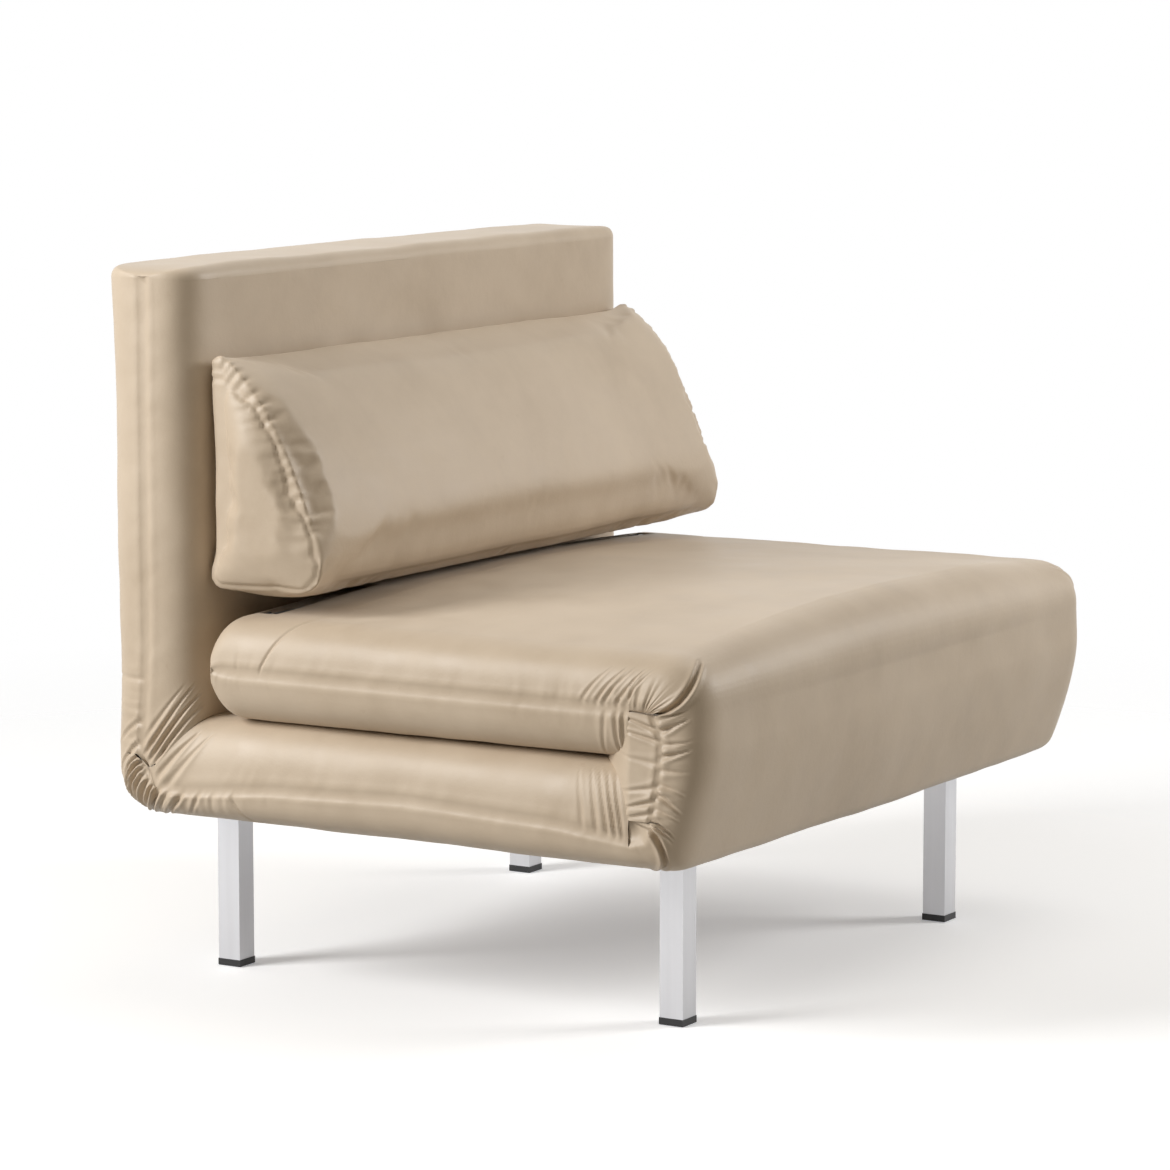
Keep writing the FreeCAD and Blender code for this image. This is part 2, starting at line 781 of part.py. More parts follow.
back_slat_z = slat_stations(back_rail_low + back_slat_low_gap, back_rail_high - back_slat_top_gap)
back_slats, back_holders = slats_and_holders(back_slat_z, 0.0, stand_up)
back_slat_rooms = [stand_up(shape) for shape in slat_room(back_slat_z, 0.0)]
save("back_side_rails", *[tube_bar(b, 2) for b in pair(back_rail_box)])
save("back_cross_rails", *[tube_bar(b, 0) for b in back_cross_boxes])
save("back_slats", *back_slats)
save("back_slat_holders", *back_holders)


def ratchet_leaf():
    """Back's hinge leaf: a toothed disc on the pivot and an arm up to the back's side rail."""
    disc = Part.makeCylinder(ratchet_radius, hinge_plate, V(plate_in, back_y, base_mid), V(1, 0, 0))
    teeth = []
    turn = 0.0
    while turn <= 90.0:
        angle = math.radians(180 + turn)
        inner = ratchet_radius - ratchet_depth
        spread = math.radians(ratchet_half_angle)

        def at(r, a):
            return V(plate_in, back_y + r * math.cos(a), base_mid + r * math.sin(a))

        wide = ratchet_radius + 2
        points = [at(inner, angle), at(wide, angle + spread), at(wide, angle - spread)]
        teeth.append(prism(outline(points[0], points[1:]), V(hinge_plate, 0, 0)))
        turn += ratchet_step
    top = back_rail_low + hinge_leaf_length
    arm = block((plate_in, plate_out, back_y - hinge_end_radius, back_y + hinge_end_radius, base_mid, top))
    pad = block((leaf_in, plate_in, back_y - hinge_end_radius, back_y + hinge_end_radius,
                 top - leaf_pad_length, top))
    drill = rod(V(plate_in - 1, back_y, base_mid), V(1, 0, 0), hinge_plate + 2, pin_hole)
    return disc.cut(teeth).fuse([arm, pad]).removeSplitter().cut(drill)


base_leaf = hinge_plate_shape(leaf_in, leaf_out,
                              [(rear_leaf_start + hinge_end_radius, base_mid), (back_y, base_mid)],
                              hinge_end_radius, [(back_y, base_mid)], hinge_pin_radius)
spring_y = back_y - ratchet_radius
spring_root = spring_y - spring_length
spring_low = base_mid + spring_rise


def detent_spring():
    """Leaf spring on the base leaf whose nose drops into the ratchet's notches."""
    nose = spring_y + ratchet_depth - spring_nose_gap
    blade_end = spring_y - spring_neck
    blade_top = spring_low + spring_thickness
    root = (plate_in, plate_out, spring_root, spring_root + spring_block, base_mid - spring_rise, spring_low)
    blade = (plate_in, plate_out, spring_root, blade_end, spring_low, blade_top)
    tip = outline(V(plate_in, nose, base_mid), [
        V(plate_in, blade_end + spring_thickness, base_mid + spring_nose_half),
        V(plate_in, blade_end, blade_top),
        V(plate_in, blade_end - spring_thickness, blade_top),
        V(plate_in, blade_end - spring_thickness, spring_low),
        V(plate_in, blade_end - spring_thickness / 2, base_mid - spring_nose_half),
        V(plate_in, blade_end + spring_thickness, base_mid - spring_nose_half),
    ])
    shape = block(root).fuse([block(blade), prism(tip, V(hinge_plate, 0, 0))])
    return shape.removeSplitter()


spring_pad = block((leaf_out, plate_in, spring_root, spring_root + spring_block,
                    base_mid - spring_rise, spring_low))
save("back_hinge_base_leaves", *with_mirror(base_leaf.fuse(spring_pad).removeSplitter()))
save("back_hinge_leaves", *with_mirror(ratchet_leaf()))
save("back_hinge_pins", *with_mirror(cross_pin(back_y, base_mid)))
save("detent_springs", *with_mirror(detent_spring()))

head_pivot_y = back_rear + head_leg_room - head_leg_radius - head_glide_thickness
head_half = head_leg_span / 2
cheek_gap = head_leg_radius + bracket_gap
cheek_outer = cheek_gap + bracket_thickness
cheek_half = head_leg_radius + bracket_overhang
cheek_front = back_cross_y + rail_size / 2


def head_bracket():
    """U-shaped bracket from the back's cross rail through the rear face, with two cheeks and a pin hole."""
    z0 = head_leg_pivot_height - cheek_half
    z1 = head_leg_pivot_height + cheek_half
    cheeks = [block((head_half + a, head_half + b, cheek_front, head_pivot_y + cheek_reach, z0, z1))
              for a, b in ((-cheek_outer, -cheek_gap), (cheek_gap, cheek_outer))]
    web = block((head_half - cheek_outer, head_half + cheek_outer, cheek_front,
                 cheek_front + bracket_thickness, z0, z1))
    drill = rod(V(head_half - cheek_outer, head_pivot_y, head_leg_pivot_height), V(1, 0, 0), 2 * cheek_outer,
                small_pin_radius)
    return web.fuse(cheeks).removeSplitter().cut(drill)


def head_pin():
    return rod(V(head_half - cheek_outer - small_pin_end, head_pivot_y, head_leg_pivot_height), V(1, 0, 0),
               2 * (cheek_outer + small_pin_end), small_pin_radius)


head_pivot_bed = base_mid - (head_pivot_y - back_y)
head_bar_z = head_leg_pivot_height - head_pivot_bed + head_leg_radius + head_glide_thickness


def head_leg_tube(radius):
    """Solid U: two arms, two quarter bends and the bar between them."""
    bend = head_leg_bend_radius
    arm = head_leg_pivot_height - head_bar_z - bend
    bar_start = V(-head_half + bend, head_pivot_y, head_bar_z)
    pieces = [rod(bar_start, V(1, 0, 0), head_leg_span - 2 * bend, radius)]
    for side in (-1, 1):
        elbow = V(side * head_half, head_pivot_y, head_bar_z + bend)
        centre = V(side * (head_half - bend), head_pivot_y, head_bar_z + bend)
        disc = Part.Face(Part.Wire(Part.makeCircle(radius, elbow, V(0, 0, 1))))
        pieces.append(disc.revolve(centre, V(0, 1, 0), side * 90))
        pieces.append(rod(elbow, V(0, 0, 1), arm, radius))
    return pieces[0].fuse(pieces[1:]).removeSplitter()


def head_leg_shape():
    """U-shaped tube with a solid rounded head on each arm, drilled for its pin."""
    tube = head_leg_tube(head_leg_radius).cut(head_leg_tube(head_leg_radius - head_leg_wall))
    for side in (-1, 1):
        place = V(side * head_half, head_pivot_y, head_leg_pivot_height)
        ball = Part.makeSphere(head_leg_radius, place)
        plug = rod(place - V(0, 0, leg_plug_length), V(0, 0, 1), leg_plug_length, head_leg_radius)
        drill = rod(place - V(cheek_outer, 0, 0), V(1, 0, 0), 2 * cheek_outer,
                    small_pin_radius + running_clearance)
        tube = tube.fuse([ball, plug]).removeSplitter().cut(drill)
    return tube


def head_glide(side):
    """Rubber sleeve on the bar, near its bend."""
    x0 = side * (head_half - head_leg_bend_radius - head_glide_length / 2) - head_glide_length / 2
    return rod(V(x0, head_pivot_y, head_bar_z), V(1, 0, 0), head_glide_length,
               head_leg_radius + head_glide_thickness, head_leg_radius)


save("head_leg_brackets", *with_mirror(head_bracket()))
save("head_leg_pins", *with_mirror(head_pin()))
save("head_leg", head_leg_shape())
save("head_leg_glides", head_glide(-1), head_glide(1))


def back_half(inset, front):
    """Front or rear half of the back section, with a narrow flat top and a slight flare behind."""
    pad = standing_pad(base_mid + body_gap, overall_height, inset)
    top = overall_height - inset
    radius = back_top_radius
    if front:
        face = back_front + inset
        region = side_prism((back_y, base_mid + body_gap), [
            (back_y, top),
            (face + radius, top),
            ((face + inward * radius, top - inward * radius), (face, top - radius)),
            (back_front, top - radius),
            (back_front, base_top),
        ])
    else:
        face = back_rear - inset
        region = side_prism((back_y, base_mid + back_lift), [
            (back_rear, base_mid + back_lift),
            (back_rear, top - radius),
            (face, top - radius),
            ((face - inward * radius, top - inward * radius), (face - radius, top)),
            (back_y, top),
        ])
    half = half_width - inset
    round_off = back_side_corner_radius - inset
    small = inward * round_off

    def front_view(x, z):
        return V(x, back_front - 5, z)

    shoulders = outline(front_view(-half, base_mid), [
        front_view(half, base_mid),
        front_view(half, top - round_off),
        (front_view(half - small, top - small), front_view(half - round_off, top)),
        front_view(-half + round_off, top),
        (front_view(-half + small, top - small), front_view(-half, top - round_off)),
    ])
    return pad.common(region).common(prism(shoulders, V(0, layer_thickness + 10, 0)))


bracket_room_box = (head_half - cheek_outer - small_pin_end, head_half + cheek_outer + small_pin_end,
                    cheek_front, back_rear + 5,
                    head_leg_pivot_height - cheek_half, head_leg_pivot_height + cheek_half)
back_rooms = [block(b, fit) for b in pair(back_rail_box) + back_cross_boxes + pair(bracket_room_box)]
back_rooms += back_slat_rooms
back_rooms += pocket(back_y - ratchet_reach, back_y + ratchet_reach, base_mid,
                     back_rail_low + hinge_leaf_length + hinge_room)
foam, cover = padded_half(back_half, True, back_rooms)
save("back_foam_front", foam)
save("back_cover_front", cover)
foam, cover = padded_half(back_half, False, back_rooms)
save("back_foam_rear", foam)
save("back_cover_rear", cover)

# Rear corner: the soft quarter round between the base's underside and the back's rear face


def rear_corner(inset):
    half_section = lying_pad(back_y, back_y + 1, base_low, base_top, inset)
    flat = [f for f in half_section.Faces if abs(f.CenterOfMass.y - back_y) < 1e-6][0]
    lower = flat.common(block((-far, far, back_y - 1, back_y + 1, base_low - 1, base_mid)))
    turned = lower.Faces[0].revolve(V(0, back_y, base_mid), V(1, 0, 0), 90)
    riser = standing_pad(base_mid, base_mid + back_lift - body_gap, inset)
    riser = riser.common(block((-far, far, back_y, back_rear + 1, base_mid - 1, base_mid + back_lift)))
    return turned, riser


corner_rooms = base_rooms + leg_rooms


def joined_corner(inset):
    turned, riser = rear_corner(inset)
    return turned.fuse(riser).removeSplitter()


corner_outer = joined_corner(0.0)
save("rear_corner_foam", joined_corner(skin).cut(corner_rooms))
save("rear_corner_cover", corner_outer.cut([joined_corner(cover_thickness)] + corner_rooms))

# Lumbar pillow: a long D-shaped wedge, flat behind and below, with a full front

pillow_rear = back_front - body_gap
pillow_low = crown_top + body_gap


def pillow_section(x, inset, swell):
    """Closed side profile at one station, drawn in or swollen at the front."""
    rear = pillow_rear - inset
    low = pillow_low + inset
    high = pillow_low + pillow_height - inset
    reach = pillow_depth - inset + swell
    front = pillow_rear - reach
    rise = high - low

    def at(y, z):
        return V(x, y, z)

    lip = at(rear - pillow_top_flat, high)
    shoulder = at(rear - 0.51 * reach, low + 0.80 * rise)
    waist = at(rear - 0.915 * reach, low + 0.30 * rise)
    nose = at(front, low + 0.135 * rise)
    toe = at(rear - 0.82 * reach, low)
    return outline(at(rear, high), [
        lip,
        (shoulder, waist),
        (nose, toe),
        at(rear - pillow_rear_hem, low),
        at(rear, low + pillow_bottom_radius),
    ])


def pillow_form(inset):
    """Pillow lofted through evenly spaced profiles, fullest in the middle and drawn in at both ends."""
    end = pillow_length / 2 - inset
    wires = []
    for i in range(pillow_profile_count):
        share = 2 * i / (pillow_profile_count - 1) - 1
        swell = (pillow_bulge + pillow_end_draw) * (1 - share ** 4) - pillow_end_draw
        wires.append(pillow_section(share * end, inset, swell))
    return Part.makeLoft(wires, True, False)


pillow_outer = pillow_form(0.0)
save("lumbar_pillow_cover", pillow_outer.cut(pillow_form(cover_thickness)))
save("lumbar_pillow_fill", pillow_form(skin))
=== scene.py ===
import json
import math

import bmesh
import bpy
import numpy as np
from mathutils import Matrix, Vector, kdtree, noise


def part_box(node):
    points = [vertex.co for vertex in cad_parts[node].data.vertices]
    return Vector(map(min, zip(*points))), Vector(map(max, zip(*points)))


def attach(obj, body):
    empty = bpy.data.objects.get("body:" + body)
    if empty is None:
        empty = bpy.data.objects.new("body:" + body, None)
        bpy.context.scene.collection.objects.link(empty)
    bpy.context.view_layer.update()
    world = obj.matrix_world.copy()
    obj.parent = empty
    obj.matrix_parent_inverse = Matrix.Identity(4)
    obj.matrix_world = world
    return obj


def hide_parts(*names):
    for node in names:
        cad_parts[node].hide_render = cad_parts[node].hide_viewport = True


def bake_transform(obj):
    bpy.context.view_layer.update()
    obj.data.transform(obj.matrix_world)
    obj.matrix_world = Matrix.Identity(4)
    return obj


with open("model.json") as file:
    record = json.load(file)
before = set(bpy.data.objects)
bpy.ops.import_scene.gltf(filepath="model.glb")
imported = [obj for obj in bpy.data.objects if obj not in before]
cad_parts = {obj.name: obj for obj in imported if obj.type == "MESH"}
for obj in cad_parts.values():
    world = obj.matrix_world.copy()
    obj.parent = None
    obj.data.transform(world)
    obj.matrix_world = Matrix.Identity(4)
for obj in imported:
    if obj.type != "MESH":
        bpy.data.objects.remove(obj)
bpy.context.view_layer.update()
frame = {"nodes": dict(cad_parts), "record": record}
nodes = frame["nodes"]

MM = 0.001

# Levels and stations of the mattress, from the frame
base_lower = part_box("base_cover_lower")
base_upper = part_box("base_cover_upper")
seat_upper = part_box("seat_cover_upper")
seat_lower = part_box("seat_cover_lower")
back_front_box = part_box("back_cover_front")
back_rear_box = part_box("back_cover_rear")
half_width = base_lower[1].x
base_low = base_lower[0].z
base_mid = base_lower[1].z
base_top = base_upper[1].z
back_y = base_lower[1].y
fold_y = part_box("front_cover_lower")[1].y
front_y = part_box("fold_core_cover")[0].y
seat_low = seat_lower[0].z
seat_mid = seat_upper[0].z
crown_top = seat_upper[1].z
seat_end = seat_upper[1].y
half_layer = base_mid - base_low
seat_top = seat_mid + half_layer
seat_crown = crown_top - seat_top
back_front = back_front_box[0].y
back_rear = back_rear_box[1].y
back_top = back_front_box[1].z
corner_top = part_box("rear_corner_cover")[1].z
flat_half = half_width - half_layer

# Shape of the soft parts, read from the photograph
top_edge_radius = 52 * MM
end_radius = 30 * MM
back_edge_radius = 16 * MM
box_corner = 7 * MM
front_lean = 29 * MM
front_lean_height = 118 * MM
front_toe_radius = 22 * MM
fold_crown = 3 * MM
side_fullness = 2.7
tongue_fullness = 0.68
side_steps = 32
slot_clearance = 3 * MM

# Seams and fullness of the cover; widths along the side are shares of the way from outline to seam
seam_groove, seam_groove_width = 2.4 * MM, 0.018
seam_ridge, seam_ridge_place, seam_ridge_width = 0.7 * MM, 0.06, 0.03
fold_fade = 0.06
fold_fade_rows = 3.0
wave_height, wave_length = 2.2 * MM, 0.14
ripple_height, ripple_length = 0.7 * MM, 0.045

foot_low, foot_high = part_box("foot_leg_left")
slot_inner = abs(foot_high.x) - slot_clearance
slot_y = (foot_low.y - slot_clearance, foot_high.y + slot_clearance)
slot_floor = foot_low.z - slot_clearance


def arc(centre, radius, start, end, count=13):
    """Points of an arc in side view, as (y, z); angles in degrees."""
    angles = np.radians(np.linspace(start, end, count))
    return [(centre[0] + radius * math.cos(a), centre[1] + radius * math.sin(a)) for a in angles]


def spread(points, count):
    """Evenly spaced points along a polyline; a single point is repeated."""
    points = np.array(points, float).reshape(-1, 2)
    steps = np.linalg.norm(np.diff(points, axis=0), axis=1)
    length = np.concatenate([[0], np.cumsum(steps)])
    if length[-1] < 1e-9:
        return np.repeat(points[:1], count, axis=0)
    at = np.linspace(0, length[-1], count)
    return np.stack([np.interp(at, length, points[:, i]) for i in range(2)], axis=1)


# Columns across the flat of the cover, as shares of its half width, with lines at the foot leg slots
flat_columns = np.concatenate([np.linspace(-1, -slot_inner / flat_half, 17)[1:],
                               np.linspace(-slot_inner / flat_half, slot_inner / flat_half, 28)[1:],
                               np.linspace(slot_inner / flat_half, 1, 17)[1:-1]])


class Strip:
    """Rows of the cover, each running from the left side seam over the outline to the right side seam."""

    def __init__(self):
        self.edge = np.zeros((0, 2))
        self.seam = np.zeros((0, 2))
        self.crown = np.zeros(0)
        self.marks = {}

    def run(self, edge, seam, count, crown=(0, 0)):
        first = 1 if len(self.edge) else 0
        self.edge = np.vstack([self.edge, spread(edge, count)[first:]])
        self.seam = np.vstack([self.seam, spread(seam, count)[first:]])
        self.crown = np.concatenate([self.crown, np.linspace(crown[0], crown[1], count)[first:]])
        return self

    def mark(self, name):
        self.marks[name] = len(self.edge) - 1
        return self

    def length(self):
        """Distance along the outline at each row."""
        steps = np.linalg.norm(np.diff(self.edge, axis=0), axis=1)
        return np.concatenate([[0], np.cumsum(steps)])

    def at(self, name):
        return self.length()[self.marks[name]]

    def grid(self, chamfer=False):
        """Places of all rows and columns, with the share from outline (0) to seam (1) of each column."""
        angle = np.linspace(0, math.pi / 2, side_steps + 1)
        inward = 1 - np.cos(angle) ** (2 / side_fullness)
        outward = np.sin(angle) ** (2 / side_fullness)
        share = angle / (math.pi / 2)
        if chamfer:
            inward = share
        rows = len(self.edge)
        places = np.zeros((rows, 2 * len(angle) + len(flat_columns), 3))
        shares = np.concatenate([share[::-1], np.zeros(len(flat_columns)), share])
        tangent = np.gradient(self.edge, axis=0)
        tangent /= np.maximum(np.linalg.norm(tangent, axis=1), 1e-9)[:, None]
        normal = np.stack([tangent[:, 1], -tangent[:, 0]], axis=1)
        reach = np.linalg.norm(self.seam - self.edge, axis=1)
        for i in range(rows):
            line = self.edge[i] + np.outer(inward, self.seam[i] - self.edge[i])
            full = np.minimum(inward * reach[i] / half_layer, 1) ** tongue_fullness if chamfer else outward
            side = flat_half + half_layer * full
            rise = self.crown[i] * (1 - flat_columns ** 2)
            middle = self.edge[i] + np.outer(rise, normal[i])
            places[i, :, 0] = np.concatenate([-side[::-1], flat_columns * flat_half, side])
            places[i, :, 1] = np.concatenate([line[::-1, 0], middle[:, 0], line[:, 0]])
            places[i, :, 2] = np.concatenate([line[::-1, 1], middle[:, 1], line[:, 1]])
        return places, shares


# Stations and levels where the outline changes
seat_panel_y = fold_y + 464 * MM
seat_panel_edge = seat_panel_y - 25 * MM
base_panel_y = fold_y + 470 * MM
base_panel_edge = base_panel_y - 20 * MM
base_front_y = fold_y + 90 * MM
corner_edge = back_front - 12 * MM
back_waist = corner_top + 120 * MM
back_shoulder = back_top - 160 * MM
back_flare = back_rear + 9 * MM
face_waist = base_top + 110 * MM
face_foot = base_top + 30 * MM

# Side seams, as (y, z)
seat_tip = (seat_end - box_corner, seat_mid)
seat_bend = (seat_end - 35 * MM, seat_mid)
seat_slot_seam = (slot_y[0] + 7 * MM, seat_mid)
seat_panel_seam = (seat_panel_y, seat_mid)
seat_front_seam = (fold_y + 150 * MM, seat_mid)
seat_fold_seam = (fold_y, seat_mid)
fold_seam_bend = (fold_y - 18 * MM, seat_mid)
fold_seam_top = (fold_y - 28 * MM, seat_mid - 3 * MM)
fold_seam = [fold_seam_top, (fold_y - 40 * MM, seat_mid - 30 * MM), (fold_y - 37 * MM, base_top),
             (fold_y - 33 * MM, base_mid + 30 * MM), (fold_y - 26 * MM, base_mid)]
base_fold_seam = (fold_y, base_mid - 25 * MM)
fold_seam_low = [fold_seam[-1], (fold_y - 16 * MM, base_mid - 20 * MM), base_fold_seam]
base_front_seam = (base_front_y, base_mid - 14 * MM)
base_panel_seam = (base_panel_y, base_mid - 13 * MM)
base_seam_front = [base_fold_seam, base_front_seam]
base_seam_middle = [base_front_seam, (fold_y + 290 * MM, base_mid - 6 * MM), base_panel_seam]
base_seam_rear = [base_panel_seam, (back_y - 45 * MM, base_mid - 26 * MM),
                  (back_y - 10 * MM, base_mid - 22 * MM)]
rear_seam = [base_seam_rear[-1], (back_y + 6 * MM, base_mid - 8 * MM), (back_y + 10 * MM, corner_top)]
back_seam_low = rear_seam[-1]
back_seam_waist = (back_y, back_waist)
back_seam_top = (back_y, back_top - 14 * MM)
inner_joint = (back_y - 4 * MM, base_mid - 6 * MM)

# Rows of each stretch; two strips that share a seam take the same count
end_rows, bend_rows, slot_rows, rear_rows, middle_rows, front_rows = 7, 31, 9, 30, 46, 76
bend_rows_below_slot = 21
fold_rows = 66
base_front_rows, base_middle_rows, base_rear_rows = 40, 60, 86
back_low_rows, back_high_rows, back_edge_rows = 50, 64, 10


def front_line(low, high, count=24):
    """Front of the fold in side view, upright above and leaning back towards its lower edge."""
    points = []
    for z in np.linspace(high, low, count):
        lean = max(base_top + 20 * MM - z, 0) / front_lean_height
        points.append((front_y + front_lean * lean ** 1.5, z))
    return points


front_low = base_low + 14.5 * MM
front_low_y = front_line(front_low, front_low, 1)[0][0]
front_toe = (front_low_y + 20.7 * MM, base_low + front_toe_radius)
end_centre = (seat_end - end_radius, seat_top - end_radius)
top_edge_centre = (front_y + top_edge_radius, seat_top - top_edge_radius)
back_top_edge = back_top - back_edge_radius
slot_turn = math.degrees(math.acos(min(1, (slot_y[1] - seat_end + end_radius) / end_radius)))
bend_seam = spread([seat_tip, seat_bend], bend_rows)

outer = Strip()
outer.run([(seat_end, seat_mid), (seat_end, seat_top - end_radius)], [seat_tip], end_rows)
outer.run(arc(end_centre, end_radius, 0, slot_turn), bend_seam[:bend_rows_below_slot],
          bend_rows_below_slot, (0, seat_crown * 0.4))
outer.run(arc(end_centre, end_radius, slot_turn, 90), bend_seam[bend_rows_below_slot - 1:],
          bend_rows - bend_rows_below_slot + 1, (seat_crown * 0.4, seat_crown * 0.5))
outer.run([(seat_end - end_radius, seat_top), (slot_y[0], seat_top)], [seat_bend, seat_slot_seam],
          slot_rows, (seat_crown * 0.5, seat_crown * 0.6))
outer.run([(slot_y[0], seat_top), (seat_panel_edge, seat_top)], [seat_slot_seam, seat_panel_seam],
          rear_rows, (seat_crown * 0.6, seat_crown * 0.8))
outer.run([(seat_panel_edge, seat_top), (seat_front_seam[0], seat_top)],
          [seat_panel_seam, seat_front_seam], middle_rows, (seat_crown * 0.8, seat_crown))
outer.run([(seat_front_seam[0], seat_top), (fold_y, seat_top)], [seat_front_seam, seat_fold_seam],
          front_rows, (seat_crown, seat_crown))
outer.mark("seat")
outer.run([(fold_y, seat_top), (top_edge_centre[0], seat_top)], [seat_fold_seam, fold_seam_bend],
          20, (seat_crown, seat_crown))
outer.run(arc(top_edge_centre, top_edge_radius, 90, 180) + [(front_y, seat_mid)],
          [fold_seam_bend, fold_seam_top], 46, (seat_crown, fold_crown))
outer.mark("upper_fold")
outer.run(front_line(base_mid, seat_mid), fold_seam, fold_rows, (fold_crown, fold_crown))
outer.mark("core")
outer.run(front_line(front_low, base_mid, 12) + arc(front_toe, front_toe_radius, 200, 270)
          + [(fold_y, base_low)], fold_seam_low, 56, (fold_crown, 0))
outer.mark("lower_fold")
outer.run([(fold_y, base_low), (base_front_y, base_low)], base_seam_front, base_front_rows)
outer.run([(base_front_y, base_low), (base_panel_y, base_low)], base_seam_middle, base_middle_rows)
outer.run([(base_panel_y, base_low), (back_y, base_low)], base_seam_rear, base_rear_rows)
outer.mark("base")
outer.run(arc((back_y, base_mid), half_layer, -90, 0) + [(back_rear, corner_top)], rear_seam, 62)
outer.mark("rear_corner")
outer.run([(back_rear, corner_top), (back_rear, back_waist)], [back_seam_low, back_seam_waist],
          back_low_rows)
outer.run([(back_rear, back_waist), (back_rear + 2 * MM, back_shoulder), (back_flare, back_top_edge)],
          [back_seam_waist, back_seam_top], back_high_rows)
outer.run(arc((back_flare - back_edge_radius, back_top_edge), back_edge_radius, 0, 90),
          [back_seam_top], back_edge_rows)
outer.run([(back_flare - back_edge_radius, back_top), (back_front + back_edge_radius, back_top)],
          [back_seam_top], 16)
outer.run(arc((back_front + back_edge_radius, back_top_edge), back_edge_radius, 90, 180),
          [back_seam_top], back_edge_rows)
outer.mark("back")

back_face = Strip()
back_face.run([(back_front, back_top_edge), (back_front, face_waist)], [back_seam_top, back_seam_waist],
              back_high_rows)
back_face.run([(back_front, face_waist), (back_front, face_foot)], [back_seam_waist, back_seam_low],
              back_low_rows)
back_face.run([(back_front, face_foot), (back_front, base_top)], [back_seam_low, inner_joint], 22)

base_face = Strip()
base_face.run([(back_front, base_top), (corner_edge, base_top)], [inner_joint, base_seam_rear[-1]], 9)
base_face.run([(corner_edge, base_top), (base_panel_edge, base_top)], base_seam_rear[::-1],
              base_rear_rows)
base_face.run([(base_panel_edge, base_top), (base_front_y, base_top)], base_seam_middle[::-1],
              base_middle_rows)
base_face.run([(base_front_y, base_top), (fold_y, base_top)], base_seam_front[::-1], base_front_rows)

seat_face = Strip()
seat_face.run([(fold_y, seat_low), (seat_front_seam[0], seat_low)], [seat_fold_seam, seat_front_seam],
              front_rows)
seat_face.run([(seat_front_seam[0], seat_low), (seat_panel_edge, seat_low)],
              [seat_front_seam, seat_panel_seam], middle_rows)
seat_face.run([(seat_panel_edge, seat_low), (slot_y[0], seat_low)], [seat_panel_seam, seat_slot_seam],
              rear_rows)
seat_face.run([(slot_y[0], seat_low), (seat_end - end_radius, seat_low)], [seat_slot_seam, seat_bend],
              slot_rows)
seat_face.run(arc((seat_end - end_radius, seat_low + end_radius), end_radius, -90, 0),
              [seat_bend, seat_tip], bend_rows)
seat_face.run([(seat_end, seat_low + end_radius), (seat_end, seat_mid)], [seat_tip], end_rows)

tongue = Strip()
tongue.run([(fold_y + half_layer, base_mid), (fold_y + half_layer, seat_mid)], fold_seam[::-1],
           fold_rows)


def curved(places, turns=2):
    """Softens the line where the flat face meets the round side."""
    smooth = places.copy()
    width = places.shape[1]
    zones = [np.arange(side_steps - 5, side_steps + 8),
             np.arange(width - side_steps - 8, width - side_steps + 5)]
    for _ in range(turns):
        for cols in zones:
            smooth[:, cols] = (smooth[:, cols - 1] + 2 * smooth[:, cols] + smooth[:, cols + 1]) / 4
    return smooth


def outward(places):
    """Outward normals of a grid; where rows meet in one point they come from the next column."""
    normals = np.cross(np.gradient(places, axis=0), np.gradient(places, axis=1))
    size = np.linalg.norm(normals, axis=2)
    normals = normals / np.maximum(size, 1e-15)[:, :, None]
    width = places.shape[1]
    for j in range(side_steps, -1, -1):
        weak = size[:, j] < 1e-9
        normals[weak, j] = normals[weak, j + 1]
    for j in range(width - side_steps - 1, width):
        weak = size[:, j] < 1e-9
        normals[weak, j] = normals[weak, j - 1]
    return normals


def window(x, low, high, soft):
    """1 between two values, falling smoothly to 0 outside them."""
    rise = np.clip((x - low) / soft + 1, 0, 1)
    fall = np.clip((high - x) / soft + 1, 0, 1)
    return rise * rise * (3 - 2 * rise) * fall * fall * (3 - 2 * fall)


def crease(x):
    """Groove with a raised edge on both sides, steeper on one of them."""
    return -(1 - x * x) * np.exp(-x * x / 2) + 0.55 * x * np.exp(-x * x / 1.6)


def pleat(drop, row, share, at, slant, depth, width, start, end=1.0, soft=0.15):
    """Adds one fold that meets the side seam at a row and slants along the outline as it leaves it."""
    centre = at + slant * (1 - share)
    taper = 0.45 + 0.55 * np.clip((share - start) / (1 - start), 0, 1)
    drop += depth * crease((row - centre) / (width * taper)) * window(share, start, end, soft) * taper


def gather(drop, row, share, start, end, spacing, depth, reach, seed, power=2.0):
    """A run of small uneven puckers along the side seam."""
    line = np.array([noise.noise(Vector((at / spacing, seed, 0.37))) for at in row[:, 0]])[:, None]
    fade = window(row, start, end, max((end - start) * 0.12, 4 * MM))
    drop += depth * line * fade * np.clip((share - reach) / (1 - reach), 0, 1) ** power


def stitched(drop, row, share, at, slant, depth=1.8 * MM, width=1.7 * MM):
    """A sewn line across the side and the face."""
    centre = at + slant * (1 - share)
    drop -= depth * np.exp(-((row - centre) / width) ** 2)


